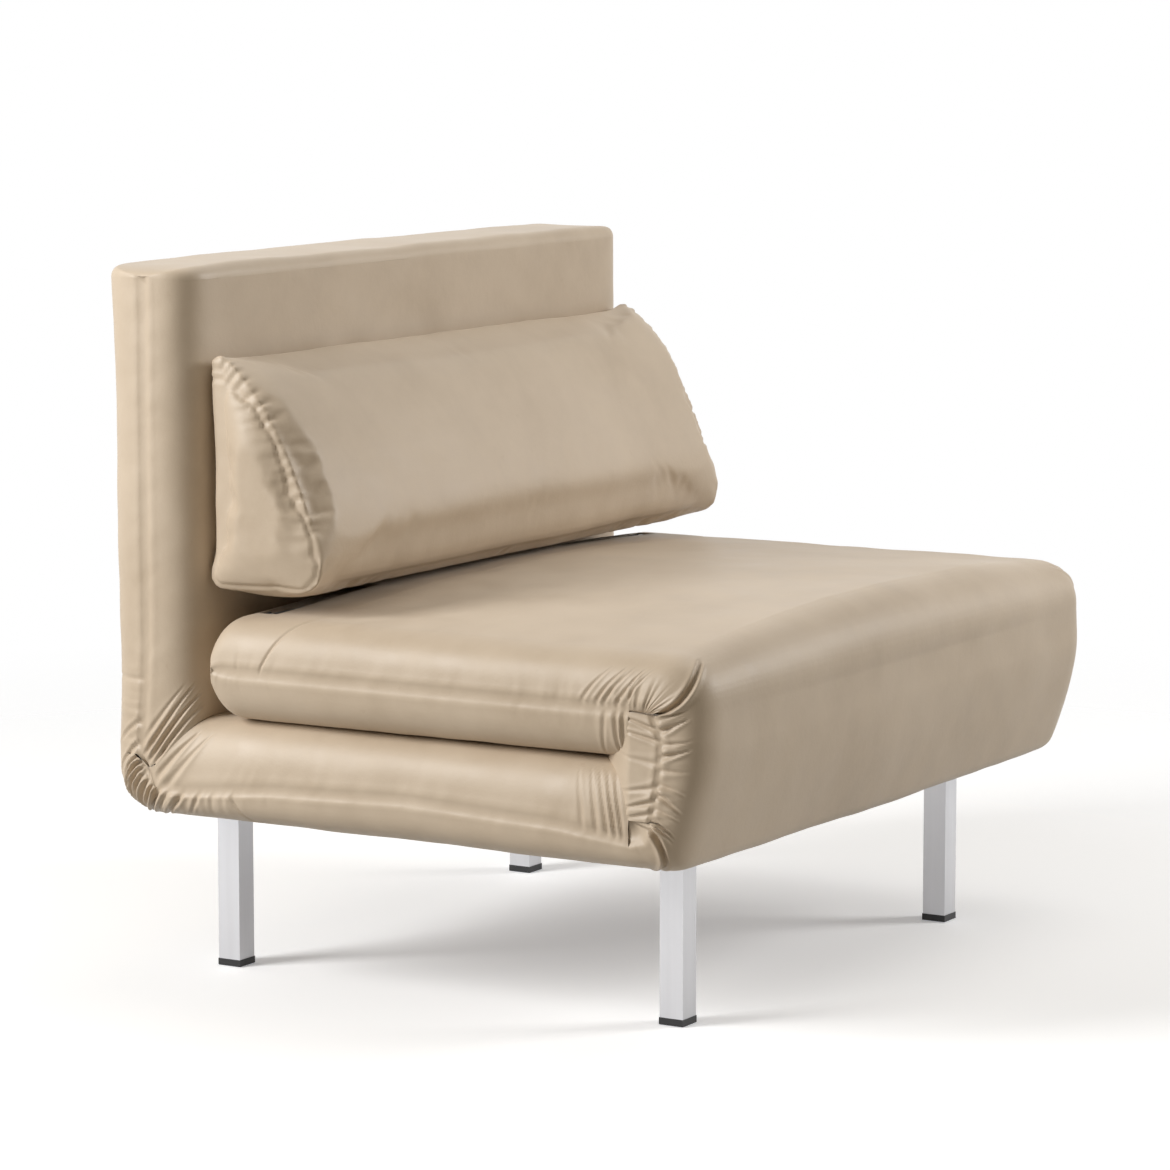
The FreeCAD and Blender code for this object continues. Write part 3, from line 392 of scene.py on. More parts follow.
def finish_grid(strip, folds, chamfer=False):
    """Rows and columns of one strip with its folds, seams and fullness; seams agree between strips."""
    places, share = strip.grid(chamfer)
    places = curved(places)
    rows = len(strip.edge)
    share = np.repeat(share[None, :], rows, axis=0)
    row = np.repeat(strip.length()[:, None], places.shape[1], axis=1)
    normals = outward(places)
    normals[:, 0] = (-1, 0, 0)
    normals[:, -1] = (1, 0, 0)
    drop = np.zeros(places.shape[:2])
    folds(drop, row, share, strip)
    count = np.arange(rows)
    ends = np.clip(np.minimum(count, rows - 1 - count) / fold_fade_rows, 0, 1)[:, None]
    drop *= ends * (1 - np.clip((share - 1 + fold_fade) / fold_fade, 0, 1) ** 2)
    points = [Vector(p) for p in places.reshape(-1, 3)]
    wave = np.array([noise.noise(p / wave_length) for p in points]).reshape(drop.shape)
    ripple = np.array([noise.noise(p / ripple_length + Vector((3, 1, 7))) for p in points])
    drop += wave_height * wave + ripple_height * ripple.reshape(drop.shape)
    drop -= seam_groove * np.exp(-((1 - share) / seam_groove_width) ** 2)
    drop += seam_ridge * np.exp(-((1 - share - seam_ridge_place) / seam_ridge_width) ** 2)
    return places + normals * drop[:, :, None]


def outer_folds(drop, row, share, strip):
    seat_line, corner, bottom, rear = (strip.at(n) for n in ("seat", "upper_fold", "lower_fold", "base"))
    panel = seat_end - seat_panel_seam[0]
    # creases from the fold's seam to its upper and lower front corners
    pleat(drop, row, share, corner - 5 * MM, -62 * MM, 7.0 * MM, 7 * MM, 0.16)
    pleat(drop, row, share, corner + 142 * MM, 92 * MM, 6.0 * MM, 7 * MM, 0.12)
    # slanting puckers on the seat's side behind the fold
    for at, depth in ((-60, 1.8), (-42, 2.6), (-32, 2.2), (-16, 2.8), (-4, 1.8)):
        pleat(drop, row, share, seat_line + at * MM, 74 * MM, depth * MM, 3.0 * MM, 0.60, 0.93, 0.1)
    # folds along the fold's seam, on the front
    for at, slant, depth, width in ((6, -34, 3.2, 4.0), (20, -40, 3.8, 3.6), (34, -12, 2.6, 3.4),
                                    (48, -24, 4.0, 3.8), (62, 6, 2.0, 3.4), (78, 30, 2.8, 3.8),
                                    (90, 52, 4.0, 4.0), (106, 34, 2.6, 3.4), (120, 58, 3.8, 3.8),
                                    (131, 44, 3.4, 3.6)):
        pleat(drop, row, share, corner + at * MM, slant * MM, depth * MM, width * MM, 0.70)
    # fan of folds round the rear corner
    for at, slant, depth, width, start in ((-64, 30, 1.6, 4.0, 0.45), (-38, 42, 3.8, 5.0, 0.12),
                                           (-18, 34, 2.4, 4.0, 0.30), (-4, 26, 4.8, 5.0, 0.22),
                                           (14, 8, 3.2, 4.2, 0.32), (34, -20, 4.2, 5.0, 0.15),
                                           (54, -44, 3.4, 4.2, 0.28), (72, -66, 4.4, 5.0, 0.15),
                                           (90, -84, 4.8, 4.8, 0.22), (106, -98, 3.2, 4.2, 0.35),
                                           (124, -90, 3.0, 4.2, 0.45), (148, -64, 2.4, 4.2, 0.55)):
        pleat(drop, row, share, rear + at * MM, slant * MM, depth * MM, width * MM, start)
    # sewn joins of the side panels
    stitched(drop, row, share, panel + 46 * MM, 31 * MM)
    stitched(drop, row, share, rear - 112 * MM, -37 * MM)
    stitched(drop, row, share, rear + 196 * MM, 0, 1.0 * MM)
    gather(drop, row, share, 0.1, seat_line, 10 * MM, 1.2 * MM, 0.6, 3.1)
    gather(drop, row, share, seat_line, corner + 150 * MM, 6 * MM, 2.6 * MM, 0.55, 5.2, 1.5)
    gather(drop, row, share, bottom, rear - 0.1, 10 * MM, 1.2 * MM, 0.6, 7.7)
    gather(drop, row, share, rear - 0.1, rear + 0.2, 7 * MM, 2.2 * MM, 0.4, 9.3, 1.4)
    gather(drop, row, share, rear + 0.2, rear + 0.7, 12 * MM, 1.2 * MM, 0.6, 11.9)


def back_folds(drop, row, share, strip):
    total = strip.length()[-1]
    gather(drop, row, share, 0.0, total - 0.1, 12 * MM, 1.2 * MM, 0.6, 2.3)
    for at, slant, depth, start in ((-4, -16, 3.0, 0.30), (-13, -26, 4.2, 0.34), (-24, -34, 3.4, 0.48),
                                    (-38, -30, 1.8, 0.62)):
        pleat(drop, row, share, total + at * MM, slant * MM, depth * MM, 4.5 * MM, start)


def base_folds(drop, row, share, strip):
    total = strip.length()[-1]
    for at, slant, depth in ((-6, -32, 2.8), (-14, -36, 3.2), (-24, -36, 2.8), (-38, -30, 2.0),
                             (-56, -26, 1.2)):
        pleat(drop, row, share, total + at * MM, slant * MM, depth * MM, 3.2 * MM, 0.5)
    for at, slant, depth in ((8, 10, 2.6), (22, 16, 1.6)):
        pleat(drop, row, share, at * MM, slant * MM, depth * MM, 4.0 * MM, 0.55)
    gather(drop, row, share, 0.1, total, 10 * MM, 1.2 * MM, 0.6, 4.6)


def seat_folds(drop, row, share, strip):
    for at, slant, depth in ((7, 8, 2.8), (16, 4, 2.4), (30, 16, 1.4)):
        pleat(drop, row, share, at * MM, slant * MM, depth * MM, 3.2 * MM, 0.35, 0.95)
    gather(drop, row, share, 0.0, strip.length()[-1], 10 * MM, 1.2 * MM, 0.6, 6.4)


def tongue_folds(drop, row, share, strip):
    for at, slant, depth in ((10, -20, 2.4), (24, -26, 3.0), (40, -18, 2.0), (66, 10, 1.6), (90, 20, 3.0),
                             (104, 28, 2.6)):
        pleat(drop, row, share, at * MM, slant * MM, depth * MM, 3.6 * MM, 0.55)
    gather(drop, row, share, 0.0, strip.length()[-1], 7 * MM, 1.8 * MM, 0.5, 4.4, 1.4)


outer_grid = finish_grid(outer, outer_folds)
back_face_grid = finish_grid(back_face, back_folds)
base_face_grid = finish_grid(base_face, base_folds)
seat_face_grid = finish_grid(seat_face, seat_folds)
tongue_grid = finish_grid(tongue, tongue_folds, chamfer=True)


def new_object(name, mesh):
    obj = bpy.data.objects.new(name, mesh)
    bpy.context.scene.collection.objects.link(obj)
    return obj


def add_grid(bm, places):
    """Adds a grid of quads and returns its vertices, row by row."""
    rows, columns = places.shape[:2]
    verts = [[bm.verts.new(places[i, j]) for j in range(columns)] for i in range(rows)]
    for i in range(rows - 1):
        for j in range(columns - 1):
            bm.faces.new((verts[i][j], verts[i + 1][j], verts[i + 1][j + 1], verts[i][j + 1]))
    return verts


merge_distance = 0.03 * MM
shade_distance = 0.04 * MM
spine_inset = 2 * MM


def shade_reference(grids):
    """Normals of the whole unsplit cover, so that pieces cut from it show no line at rest."""
    places = np.vstack([g.reshape(-1, 3) for g in grids])
    normals = np.vstack([outward(g).reshape(-1, 3) for g in grids])
    tree = kdtree.KDTree(len(places))
    for i, p in enumerate(places):
        tree.insert(p, i)
    tree.balance()
    return tree, normals


cover_tree, cover_normals = shade_reference([outer_grid, back_face_grid, base_face_grid,
                                             seat_face_grid, tongue_grid])


def in_slot(place):
    """Whether a place lies in one of the two pockets of the foot legs."""
    return (slot_inner < abs(place.x) < flat_half and slot_y[0] < place.y < slot_y[1]
            and place.z > slot_floor)


def closing_line(spine):
    """Points across the cover at one (y, z); a third value is the level of its ends."""
    y, z, *ends = spine
    turn = np.sin(np.linspace(0, math.pi / 2, side_steps + 1))
    side = flat_half + (half_layer - spine_inset) * turn
    level = z + ((ends[0] if ends else z) - z) * np.clip(turn / 0.5, 0, 1)
    across = (*-side[::-1], *flat_columns * flat_half, *side)
    levels = (*level[::-1], *np.full(len(flat_columns), z), *level)
    return [(x, y, height) for x, height in zip(across, levels)]


def cover_piece(name, grids, slot=False):
    """Closed padded piece from parts of the cover. Open ends close on a spine line, or on flat caps."""
    bm = bmesh.new()
    for places, spines in grids:
        verts = add_grid(bm, places)
        for end, spine in zip((0, -1), spines):
            if spine is None:
                continue
            line = [bm.verts.new(point) for point in closing_line(spine)]
            first, second = (line, verts[0]) if end == 0 else (verts[-1], line)
            for j in range(len(line) - 1):
                bm.faces.new((first[j], second[j], second[j + 1], first[j + 1]))
    if slot:
        opening = [f for f in bm.faces if in_slot(f.calc_center_median())]
        bmesh.ops.delete(bm, geom=opening, context="FACES")
        rim = [e for e in bm.edges if e.is_boundary and abs(e.verts[0].co.x) < flat_half + 1 * MM
               and all(v.co.z > slot_floor for v in e.verts)
               and all(slot_y[0] - 2 * MM < v.co.y < slot_y[1] + 2 * MM for v in e.verts)]
        walls = bmesh.ops.extrude_edge_only(bm, edges=rim)
        for v in walls["geom"]:
            if isinstance(v, bmesh.types.BMVert):
                v.co.z = slot_floor
    bmesh.ops.remove_doubles(bm, verts=bm.verts, dist=merge_distance)
    bmesh.ops.dissolve_degenerate(bm, dist=1e-6, edges=bm.edges)
    bmesh.ops.delete(bm, geom=[e for e in bm.edges if not e.link_faces], context="EDGES")
    caps = bmesh.ops.holes_fill(bm, edges=[e for e in bm.edges if e.is_boundary], sides=0)["faces"]
    for cap in caps:
        loop = cap.loops[0]
        if loop.link_loop_radial_next.vert == loop.vert:
            cap.normal_flip()
    bmesh.ops.triangulate(bm, faces=[f for f in bm.faces if len(f.verts) > 4])
    for f in bm.faces:
        f.smooth = True
    mesh = bpy.data.meshes.new(name)
    bm.normal_update()
    own = [v.normal.copy() for v in bm.verts]
    bm.to_mesh(mesh)
    bm.free()
    normals = []
    for v, fallback in zip(mesh.vertices, own):
        near = cover_tree.find_range(v.co, shade_distance)
        total = Vector(sum((cover_normals[i] for _, i, _ in near), np.zeros(3)))
        on_cover = total.length > 0.1 and total.dot(fallback) > -0.2
        normals.append(total.normalized() if on_cover else fallback)
    mesh.normals_split_custom_set_from_vertices(normals)
    return new_object(name, mesh)


def stretch(first, last):
    """Rows of the outline from one mark to the next; the outline starts at no mark."""
    return outer_grid[outer.marks.get(first, 0):outer.marks[last] + 1]


# Lines that close the open ends, as (y, z) or (y, z, level of the ends). Those of the core and of the
# base's front end stand off their neighbours, and the back's foot clears the base frame in bed form.
spine_gap = 1.5 * MM
seat_pivot = (fold_y, seat_mid)
base_pivot = (fold_y, base_mid)
back_pivot = (back_y, base_mid)
core_top = (fold_y, seat_mid - spine_gap)
core_foot = (fold_y, base_mid + spine_gap)
base_front = (fold_y + spine_gap, base_mid)
back_foot = (back_y, corner_top + 14 * MM, base_mid + 2 * MM)

seat_pad = cover_piece("seat_upholstery", [(stretch(None, "seat"), (None, seat_pivot)),
                                           (seat_face_grid, (seat_pivot, None))], slot=True)
upper_roll = cover_piece("fold_upper_roll", [(stretch("seat", "upper_fold"), (seat_pivot, seat_pivot))])
core_roll = cover_piece("fold_middle_roll", [(stretch("upper_fold", "core"), (core_top, core_foot)),
                                             (tongue_grid, (core_foot, core_top))])
lower_roll = cover_piece("fold_lower_roll", [(stretch("core", "lower_fold"), (base_pivot, base_pivot))])
base_pad = cover_piece("base_upholstery", [(stretch("lower_fold", "base"), (base_front, back_pivot)),
                                           (base_face_grid, (back_pivot, base_front))])
rear_roll = cover_piece("rear_corner_roll", [(stretch("base", "rear_corner"), (back_pivot, back_pivot))])
back_pad = cover_piece("back_upholstery", [(stretch("rear_corner", "back"), (back_foot, None)),
                                           (back_face_grid, (None, back_foot))])


# Lumbar pillow

pillow_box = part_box("lumbar_pillow_cover")
pillow_half = pillow_box[1].x
pillow_low = pillow_box[0].z
pillow_high = pillow_box[1].z
pillow_rear = pillow_box[1].y
pillow_reach = pillow_rear - pillow_box[0].y
pillow_rise = pillow_high - pillow_low
pillow_inset = 6 * MM
pillow_stations = 81
pillow_points = 96
pillow_voxel = 6 * MM
fabric_pressure = 4.0
swell_limit = 9 * MM

# Rim of the pillow's end panels, with the puckers as shares of its girth
rim_inset = 9 * MM
rim_points = 600
pucker_count = 22
pucker_start, pucker_pitch, pucker_wobble = 0.31, 0.0182, 0.006
pucker_depth, pucker_width = 2.6 * MM, 3.6 * MM
tightest_pucker, tight_spread = 14, 4.5
right_end_shift = 0.03
rim_groove = 2.0 * MM
rim_ridge = 0.7 * MM


def pillow_profile(inset):
    """Side view of the pillow, from its rear bottom round the front to its rear top."""
    depth_and_rise = [(0.0, 0.045), (0.03, 0.0), (0.15, 0.0), (0.45, 0.0), (0.78, 0.0), (0.90, 0.022),
                      (0.955, 0.07), (0.965, 0.135), (0.95, 0.21), (0.905, 0.31), (0.82, 0.44),
                      (0.715, 0.57), (0.60, 0.69), (0.47, 0.80), (0.33, 0.89), (0.18, 0.96),
                      (0.06, 0.995), (0.02, 0.99), (0.0, 0.965), (0.0, 0.5)]
    reach = pillow_reach - 2 * inset
    rise = pillow_rise - 2 * inset
    return [(pillow_rear - inset - d * reach, pillow_low + inset + r * rise) for d, r in depth_and_rise]


def make_pillow():
    """Closed form of the pillow, a little small all round, for the fabric to swell."""
    outline = np.array(pillow_profile(pillow_inset))
    ring = spread(np.vstack([outline, outline[:1]]), pillow_points + 1)[:-1]
    half = pillow_half - pillow_inset
    bm = bmesh.new()
    loops = [[bm.verts.new((x, y, z)) for y, z in ring] for x in np.linspace(-half, half, pillow_stations)]
    for a, b in zip(loops, loops[1:]):
        for j in range(len(a)):
            m = (j + 1) % len(a)
            bm.faces.new((a[j], b[j], b[m], a[m]))
    bm.faces.new(loops[0])
    bm.faces.new(loops[-1][::-1])
    bmesh.ops.recalc_face_normals(bm, faces=bm.faces)
    mesh = bpy.data.meshes.new("lumbar_pillow")
    bm.to_mesh(mesh)
    bm.free()
    return new_object("lumbar_pillow", mesh)


def choose(obj):
    """Selects one object alone."""
    bpy.ops.object.select_all(action="DESELECT")
    obj.select_set(True)
    bpy.context.view_layer.objects.active = obj


def stuff(obj, voxel, pressure, limit, frames=20):
    """Remeshes a closed form and lets cloth under pressure swell it, no point moving past the limit."""
    choose(obj)
    remesh = obj.modifiers.new("even", "REMESH")
    remesh.mode = "VOXEL"
    remesh.voxel_size = voxel
    bpy.ops.object.modifier_apply(modifier=remesh.name)
    start = np.array([v.co for v in obj.data.vertices])
    cloth = obj.modifiers.new("fabric", "CLOTH")
    cloth.settings.use_pressure = True
    cloth.settings.uniform_pressure_force = pressure
    cloth.settings.tension_stiffness = 15
    cloth.settings.compression_stiffness = 15
    cloth.settings.bending_stiffness = 0.6
    cloth.settings.effector_weights.gravity = 0
    cloth.collision_settings.use_collision = False
    cloth.point_cache.frame_start = 1
    cloth.point_cache.frame_end = frames
    for f in range(1, frames + 1):
        bpy.context.scene.frame_set(f)
    bpy.ops.object.modifier_apply(modifier=cloth.name)
    end = np.array([v.co for v in obj.data.vertices])
    move = end - start
    size = np.linalg.norm(move, axis=1)
    move *= np.minimum(1, limit / np.maximum(size, 1e-9))[:, None]
    obj.data.vertices.foreach_set("co", (start + move).astype(np.float32).ravel())
    bpy.context.scene.frame_set(1)


def dress_pillow(obj):
    """Sews the rim seams of the end panels into the swollen pillow and puckers the fabric beside them."""
    mesh = obj.data
    co = np.array([v.co for v in mesh.vertices])
    normals = np.array([v.normal for v in mesh.vertices])
    outline = pillow_profile(2 * MM)
    ring = spread(outline + outline[:1], rim_points)
    girth = np.linalg.norm(np.diff(ring, axis=0), axis=1).sum()
    tree = kdtree.KDTree(len(ring))
    for i, p in enumerate(ring):
        tree.insert((0, p[0], p[1]), i)
    tree.balance()
    rim = pillow_half - rim_inset
    puckers = []
    for i in range(pucker_count):
        tight = math.exp(-((i - tightest_pucker) / tight_spread) ** 2)
        puckers.append((girth * (pucker_start + pucker_pitch * i + pucker_wobble * math.sin(i * 5.1)),
                        0.5 + 0.35 * math.sin(i * 2.7) + 0.5 * tight))
    drop = np.zeros(len(co))
    for i, (x, y, z) in enumerate(co):
        drop[i] += 2.0 * MM * noise.noise(Vector((x * 6, y * 9, z * 9)))
        drop[i] += 0.8 * MM * noise.noise(Vector((x * 22, y * 26, z * 26 + 4)))
        side = abs(x)
        if side < rim - 70 * MM:
            continue
        _, index, gap = tree.find((0, y, z))
        along = index / rim_points * girth
        depth = gap if side > rim else 0.0
        before = max(rim - side, 0.0)
        near = math.exp(-(depth / (21 * MM)) ** 2) * math.exp(-(before / (9 * MM)) ** 2)
        near *= 1 - 0.75 * math.exp(-((depth + before) / (4 * MM)) ** 2)
        shift = right_end_shift * girth if x > 0 else 0.0
        for place, size in puckers:
            gap_along = (along - place - shift - 0.35 * depth) / pucker_width
            if abs(gap_along) < 4:
                drop[i] += pucker_depth * size * float(crease(gap_along)) * near
        from_seam = depth + before
        drop[i] -= rim_groove * math.exp(-((from_seam - 1 * MM) / (2.2 * MM)) ** 2)
        drop[i] += rim_ridge * math.exp(-((from_seam - 6 * MM) / (3 * MM)) ** 2)
    drop *= np.clip((pillow_rear - co[:, 1]) / (8 * MM), 0, 1)
    co += normals * drop[:, None]
    co[:, 1] = np.minimum(co[:, 1], pillow_rear)
    co[:, 2] = np.maximum(co[:, 2], pillow_low)
    mesh.vertices.foreach_set("co", co.astype(np.float32).ravel())
    mesh.update()


pillow = make_pillow()
stuff(pillow, pillow_voxel, fabric_pressure, swell_limit)
choose(pillow)
soft = pillow.modifiers.new("soft", "SUBSURF")
soft.levels = 1
soft.render_levels = 1
bpy.ops.object.modifier_apply(modifier=soft.name)
dress_pillow(pillow)
bpy.ops.object.shade_smooth()


# Pleated web for the open corner between base and back, built as a folded stack of layers at the corner

web_layers = 19
web_thickness = 1 * MM
web_clearance = 5 * MM
web_side_shares = np.array((0, 0.3, 0.5, 0.65, 0.77, 0.86, 0.93, 0.97))


def corner_web():
    """Folded web between base and back, each layer reaching the outline that it meets in bed form."""
    web_side = flat_half + half_layer * web_side_shares
    web_columns = np.concatenate([-web_side[::-1], np.linspace(-flat_half, flat_half, 21)[1:-1], web_side])
    table = np.linspace(0, 1, 2001)
    weight_of = table * table * (3 - 2 * table)
    toward = np.array((-1, 1)) / math.sqrt(2)
    across = np.array((1, 1)) / math.sqrt(2)
    pivot = np.array((back_y, base_mid))
    bm = bmesh.new()
    layers = []
    for weight in np.linspace(0, 1, web_layers):
        t = float(np.interp(weight, weight_of, table))
        bed_angle = math.radians(135 - 90 * weight)
        reach = (half_layer - 1 * MM) / math.sin(bed_angle)
        middle = pivot + across * (t - 0.5) * web_thickness
        near = middle + toward * 2 * MM
        layer = []
        for x in web_columns:
            side = max(abs(x) - flat_half, 0) / half_layer
            fall = (1 - side ** side_fullness) ** (1 / side_fullness)
            far = middle + toward * max(reach * fall - web_clearance, 3 * MM)
            layer.append((bm.verts.new((x, *near)), bm.verts.new((x, *far))))
        layers.append(layer)
    for a, b in zip(layers, layers[1:]):
        for j in range(len(a) - 1):
            bm.faces.new((a[j][1], a[j + 1][1], b[j + 1][1], b[j][1]))
            bm.faces.new((a[j][0], a[j + 1][0], b[j + 1][0], b[j][0]))
        for j in (0, len(a) - 1):
            bm.faces.new((a[j][0], a[j][1], b[j][1], b[j][0]))
    for layer in (layers[0], layers[-1]):
        for j in range(len(layer) - 1):
            bm.faces.new((layer[j][0], layer[j][1], layer[j + 1][1], layer[j + 1][0]))
    bmesh.ops.recalc_face_normals(bm, faces=bm.faces)
    mesh = bpy.data.meshes.new("corner_web")
    bm.to_mesh(mesh)
    bm.free()
    start = (0, *(pivot - across * web_thickness / 2))
    end = (0, *(pivot + across * web_thickness / 2))
    return new_object("corner_web", mesh), start, end


web, web_start, web_end = corner_web()


# Materials

class Value:
    """A shader number that can be written into sums."""

    def __init__(self, net, socket):
        self.net = net
        self.socket = socket

    def _with(self, kind, other, swap=False):
        first, second = (other, self) if swap else (self, other)
        return self.net.node("ShaderNodeMath", {"operation": kind}, {0: first, 1: second})

    def __add__(self, other):
        return self._with("ADD", other)

    def __radd__(self, other):
        return self._with("ADD", other, True)

    def __sub__(self, other):
        return self._with("SUBTRACT", other)

    def __rsub__(self, other):
        return self._with("SUBTRACT", other, True)

    def __mul__(self, other):
        return self._with("MULTIPLY", other)

    def __rmul__(self, other):
        return self._with("MULTIPLY", other, True)

    def __pow__(self, other):
        return self._with("POWER", other)

    def most(self, other):
        return self._with("MAXIMUM", other)


class Net:
    """Node tree of a material or a world, with its shader."""

    def __init__(self, owner, shader):
        owner.use_nodes = True
        self.tree = owner.node_tree
        self.shader = self.tree.nodes[shader]

    def node(self, kind, settings=None, inputs=None, out=0):
        made = self.tree.nodes.new(kind)
        for key, value in (settings or {}).items():
            setattr(made, key, value)
        for key, value in (inputs or {}).items():
            self.feed(made.inputs[key], value)
        return Value(self, made.outputs[out])

    def feed(self, socket, value):
        if isinstance(value, Value):
            self.tree.links.new(value.socket, socket)
        else:
            socket.default_value = value

    def set(self, **inputs):
        for key, value in inputs.items():
            self.feed(self.shader.inputs[key.replace("_", " ")], value)

    def place(self):
        return self.node("ShaderNodeTexCoord", out="Object")

    def noise(self, scale, detail=3.0, rough=0.5, stretch=(1, 1, 1)):
        vector = self.node("ShaderNodeMapping", None, {"Vector": self.place(), "Scale": stretch})
        return self.node("ShaderNodeTexNoise", None,
                         {"Vector": vector, "Scale": scale, "Detail": detail, "Roughness": rough})

    def ramp(self, value, low, high):
        return self.node("ShaderNodeMapRange", {"clamp": True},
                         {"Value": value, "From Min": low, "From Max": high})

    def blend(self, factor, first, second):
        colours = [c if isinstance(c, Value) else (*c, 1) for c in (first, second)]
        return self.node("ShaderNodeMix", {"data_type": "RGBA"},
                         {"Factor": factor, 6: colours[0], 7: colours[1]}, out=2)

    def bump(self, height, strength, distance):
        self.set(Normal=self.node("ShaderNodeBump", None,
                                  {"Height": height, "Strength": strength, "Distance": distance}))


def new_material(name, colour):
    """A material with its node tree; the colour is the plain one for solid view."""
    material = bpy.data.materials.new(name)
    material.diffuse_color = (*colour, 1)
    return material, Net(material, "Principled BSDF")


def faux_suede():
    material, net = new_material("faux_suede", (0.48, 0.38, 0.27))
    broad = net.ramp(net.noise(5.0, 4.0, 0.55), 0.35, 0.65)
    cloud = net.ramp(net.noise(19.0, 5.0, 0.6), 0.30, 0.72)
    fine = net.noise(420.0, 2.0, 0.6)
    base = net.blend(broad, (0.500, 0.400, 0.292), (0.570, 0.466, 0.352))
    worn = net.blend(cloud * 0.45, base, (0.640, 0.535, 0.415))
    mark = net.ramp(net.noise(33.0, 6.0, 0.7), 0.66, 0.74) * 0.35
    net.set(Base_Color=net.blend(mark, worn, (0.47, 0.35, 0.24)))
    net.set(Roughness=0.40 + cloud * 0.12 + fine * 0.06)
    net.set(Specular_IOR_Level=0.45, Sheen_Weight=0.12, Sheen_Roughness=0.4)
    grain = fine * 0.5 + net.noise(150.0, 4.0, 0.6) * 0.8 + net.noise(38.0, 3.0, 0.5) * 1.6
    net.bump(grain, 0.22, 0.0009)
    return material


def satin_metal(name, tone, roughness):
    material, net = new_material(name, tone)
    streak = net.noise(90.0, 4.0, 0.6, (1, 1, 0.03))
    net.set(Base_Color=net.blend(streak, tuple(c * 0.86 for c in tone), tone), Metallic=1.0)
    net.set(Roughness=roughness + streak * 0.10)
    net.bump(streak, 0.06, 0.0003)
    return material


def painted(name, tone, roughness):
    material, net = new_material(name, tone)
    speck = net.noise(600.0, 2.0, 0.5)
    net.set(Base_Color=net.blend(speck * 0.3, tone, tuple(min(1, c * 1.6 + 0.01) for c in tone)))
    net.set(Roughness=roughness + speck * 0.12)
    net.bump(speck, 0.15, 0.0003)
    return material


def beech():
    material, net = new_material("sealed_beech", (0.66, 0.46, 0.27))
    rings = net.noise(9.0, 5.0, 0.6, (0.4, 9, 9))
    pores = net.noise(160.0, 3.0, 0.6, (0.08, 1, 1))
    net.set(Base_Color=net.blend(net.ramp(rings, 0.35, 0.65), (0.62, 0.42, 0.24), (0.76, 0.56, 0.36)))
    net.set(Roughness=0.42 + pores * 0.15)
    net.bump(pores, 0.2, 0.0004)
    return material


def foam():
    material, net = new_material("open_cell_foam", (0.86, 0.82, 0.66))
    cells = net.node("ShaderNodeTexVoronoi", None, {"Vector": net.place(), "Scale": 500.0})
    net.set(Base_Color=net.blend(cells, (0.88, 0.84, 0.70), (0.70, 0.65, 0.50)), Roughness=0.9)
    net.bump(cells, 0.4, 0.001)
    return material


suede = faux_suede()
finishes = {
    "cover_fabric": suede,
    "foam": foam(),
    "beech_slat": beech(),
    "holder_plastic": painted("moulded_holder", (0.02, 0.02, 0.021), 0.45),
    "glide_plastic": painted("moulded_glide", (0.012, 0.012, 0.013), 0.35),
    "satin_steel": satin_metal("satin_steel", (0.64, 0.64, 0.66), 0.30),
    "zinc_fastener": satin_metal("zinc_plate", (0.62, 0.62, 0.60), 0.30),
    "spring_steel": satin_metal("blued_spring", (0.28, 0.29, 0.32), 0.30),
    "frame_steel": painted("powder_coat", (0.022, 0.022, 0.024), 0.42),
}


def paint(obj, material):
    obj.data.materials.clear()
    obj.data.materials.append(material)


for part in frame["record"]["subparts"]:
    paint(nodes[part["node"]], finishes[part["material_slot"]])

soft_pieces = {
    seat_pad: ("seat", ["seat_foam_upper", "seat_cover_upper", "seat_foam_lower", "seat_cover_lower"]),
    base_pad: ("base", ["base_foam_upper", "base_cover_upper", "base_foam_lower", "base_cover_lower"]),
    back_pad: ("back", ["back_foam_front", "back_cover_front", "back_foam_rear", "back_cover_rear"]),
    core_roll: ("link", ["fold_core_foam", "fold_core_cover"]),
    pillow: ("pillow", ["lumbar_pillow_fill", "lumbar_pillow_cover"]),
    upper_roll: (None, ["front_foam_upper", "front_cover_upper"]),
    lower_roll: (None, ["front_foam_lower", "front_cover_lower"]),
    rear_roll: (None, ["rear_corner_foam", "rear_corner_cover"]),
}
for piece, (body, replaced) in soft_pieces.items():
    paint(piece, suede)
    if body:
        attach(piece, body)
    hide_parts(*replaced)

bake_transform(upper_roll)
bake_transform(lower_roll)
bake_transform(rear_roll)
paint(web, suede)
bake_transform(web)


# Room, light and camera

floor_size = 8
floor_gap = 0.5 * MM
floor_fade = (0.9, 2.6)
lit_floor, seen_floor = (0.42, 0.41, 0.39), (0.93, 0.93, 0.925)
seen_glow = (0.24, 0.25, 0.27)
ambient_level, ambient_colour = 0.20, (1.0, 0.86, 0.64)


def seen(net):
    """1 for rays from the eye, off metal or through glass, 0 for the light that falls on the object."""
    rays = net.node("ShaderNodeLightPath", out="Is Camera Ray")
    for kind in ("Is Transmission Ray", "Is Glossy Ray"):
        rays = rays.most(net.node("ShaderNodeLightPath", out=kind))
    return rays


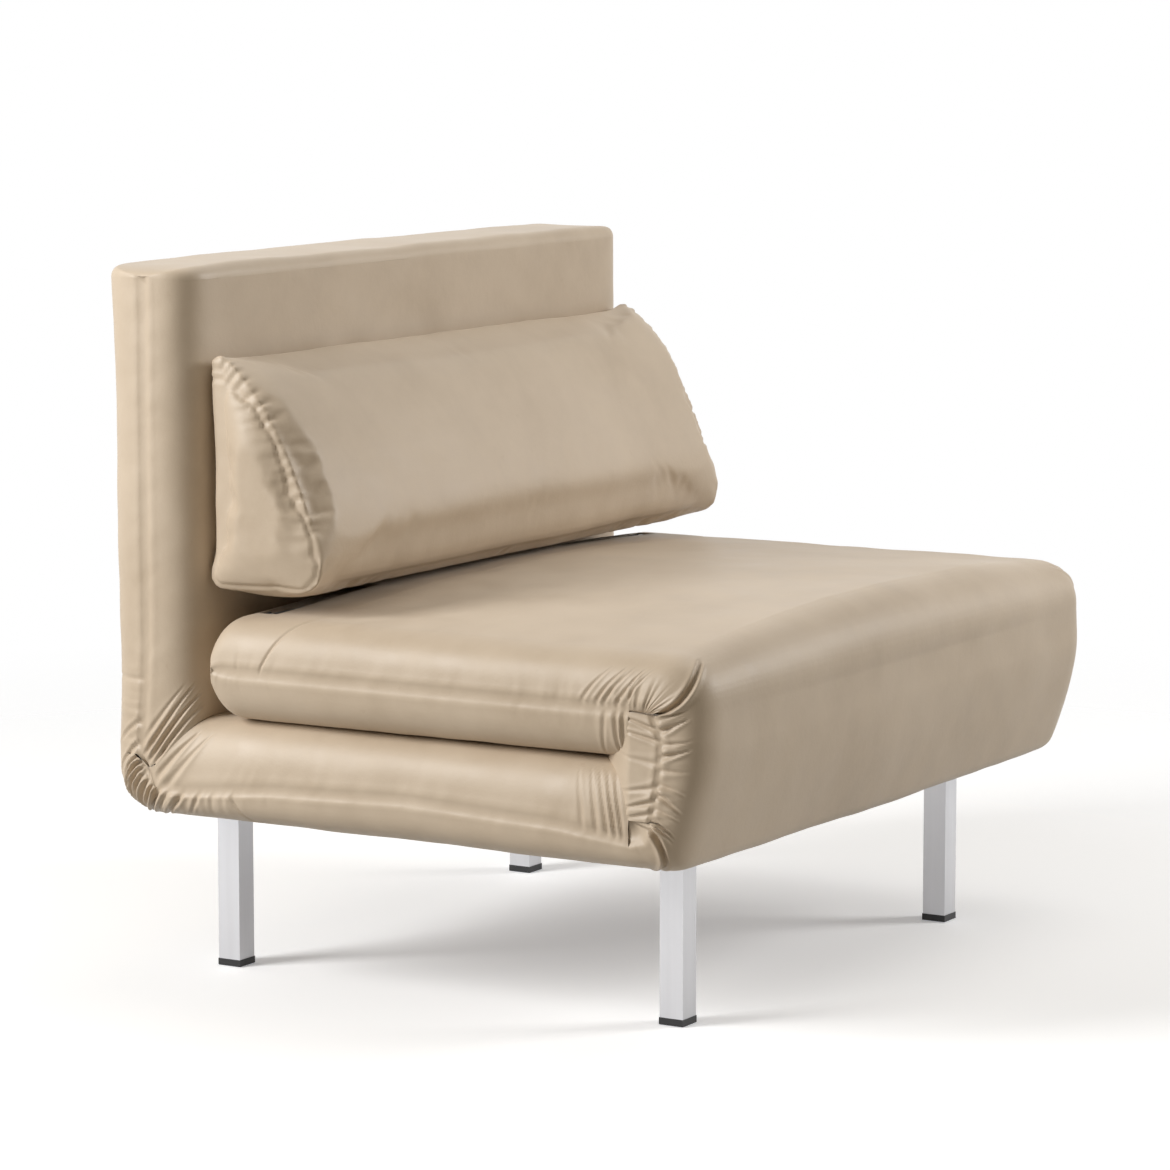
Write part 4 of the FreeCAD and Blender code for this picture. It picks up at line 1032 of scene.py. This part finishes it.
def pale_floor():
    """Pale floor that keeps the shadow and fades into the white background away from the object."""
    material, net = new_material("pale_floor", (0.93, 0.93, 0.93))
    distance = net.node("ShaderNodeVectorMath", {"operation": "LENGTH"}, {0: net.place()}, out="Value")
    seen_here = seen(net)
    net.set(Alpha=net.ramp(distance, floor_fade[1], floor_fade[0]) ** 1.5, Roughness=0.9)
    net.set(Base_Color=net.blend(seen_here, lit_floor, seen_floor))
    net.set(Emission_Color=net.blend(seen_here, (0, 0, 0), seen_glow), Emission_Strength=1.0)
    return material


bpy.ops.object.select_all(action="DESELECT")
bpy.ops.mesh.primitive_plane_add(size=floor_size, location=(0, 0, -floor_gap))
floor = bpy.context.object
floor.name = "floor"
bpy.ops.object.transform_apply(location=True, rotation=True, scale=True)
paint(floor, pale_floor())


def aim(place, target):
    """Turn that points a lamp or a camera at its target."""
    return (Vector(target) - Vector(place)).to_track_quat("-Z", "Y").to_euler()


def area_light(name, place, target, size, power):
    data = bpy.data.lights.new(name, "AREA")
    data.shape = "RECTANGLE"
    data.size, data.size_y = size
    data.energy = power
    lamp = bpy.data.objects.new(name, data)
    bpy.context.scene.collection.objects.link(lamp)
    lamp.location = place
    lamp.rotation_euler = aim(place, target)


area_light("side_window", (-3.1, 2.3, 2.3), (0, 0, 0.4), (1.6, 2.0), 168)
area_light("front_window", (2.7, -3.2, 2.2), (0, 0, 0.45), (1.5, 1.7), 96)
area_light("overhead", (1.0, -0.5, 3.1), (0.1, 0, 0.4), (2.0, 2.0), 20)

world = bpy.data.worlds.new("studio")
bpy.context.scene.world = world
world_net = Net(world, "Background")
seen_sky = seen(world_net)
world_net.set(Color=world_net.blend(seen_sky, ambient_colour, (1, 1, 1)),
              Strength=ambient_level + seen_sky * (1 - ambient_level))

camera_place = (-4.7118, -2.7775, 1.1863)
camera_target = (0, 0.030, 0.435)
camera_data = bpy.data.cameras.new("camera")
camera_data.lens = 141.45
camera_data.sensor_width = 36
camera_data.clip_end = 100
camera = bpy.data.objects.new("camera", camera_data)
bpy.context.scene.collection.objects.link(camera)
camera.location = camera_place
camera.rotation_euler = aim(camera_place, camera_target)
bpy.context.scene.camera = camera
bpy.context.scene.view_settings.view_transform = "Standard"
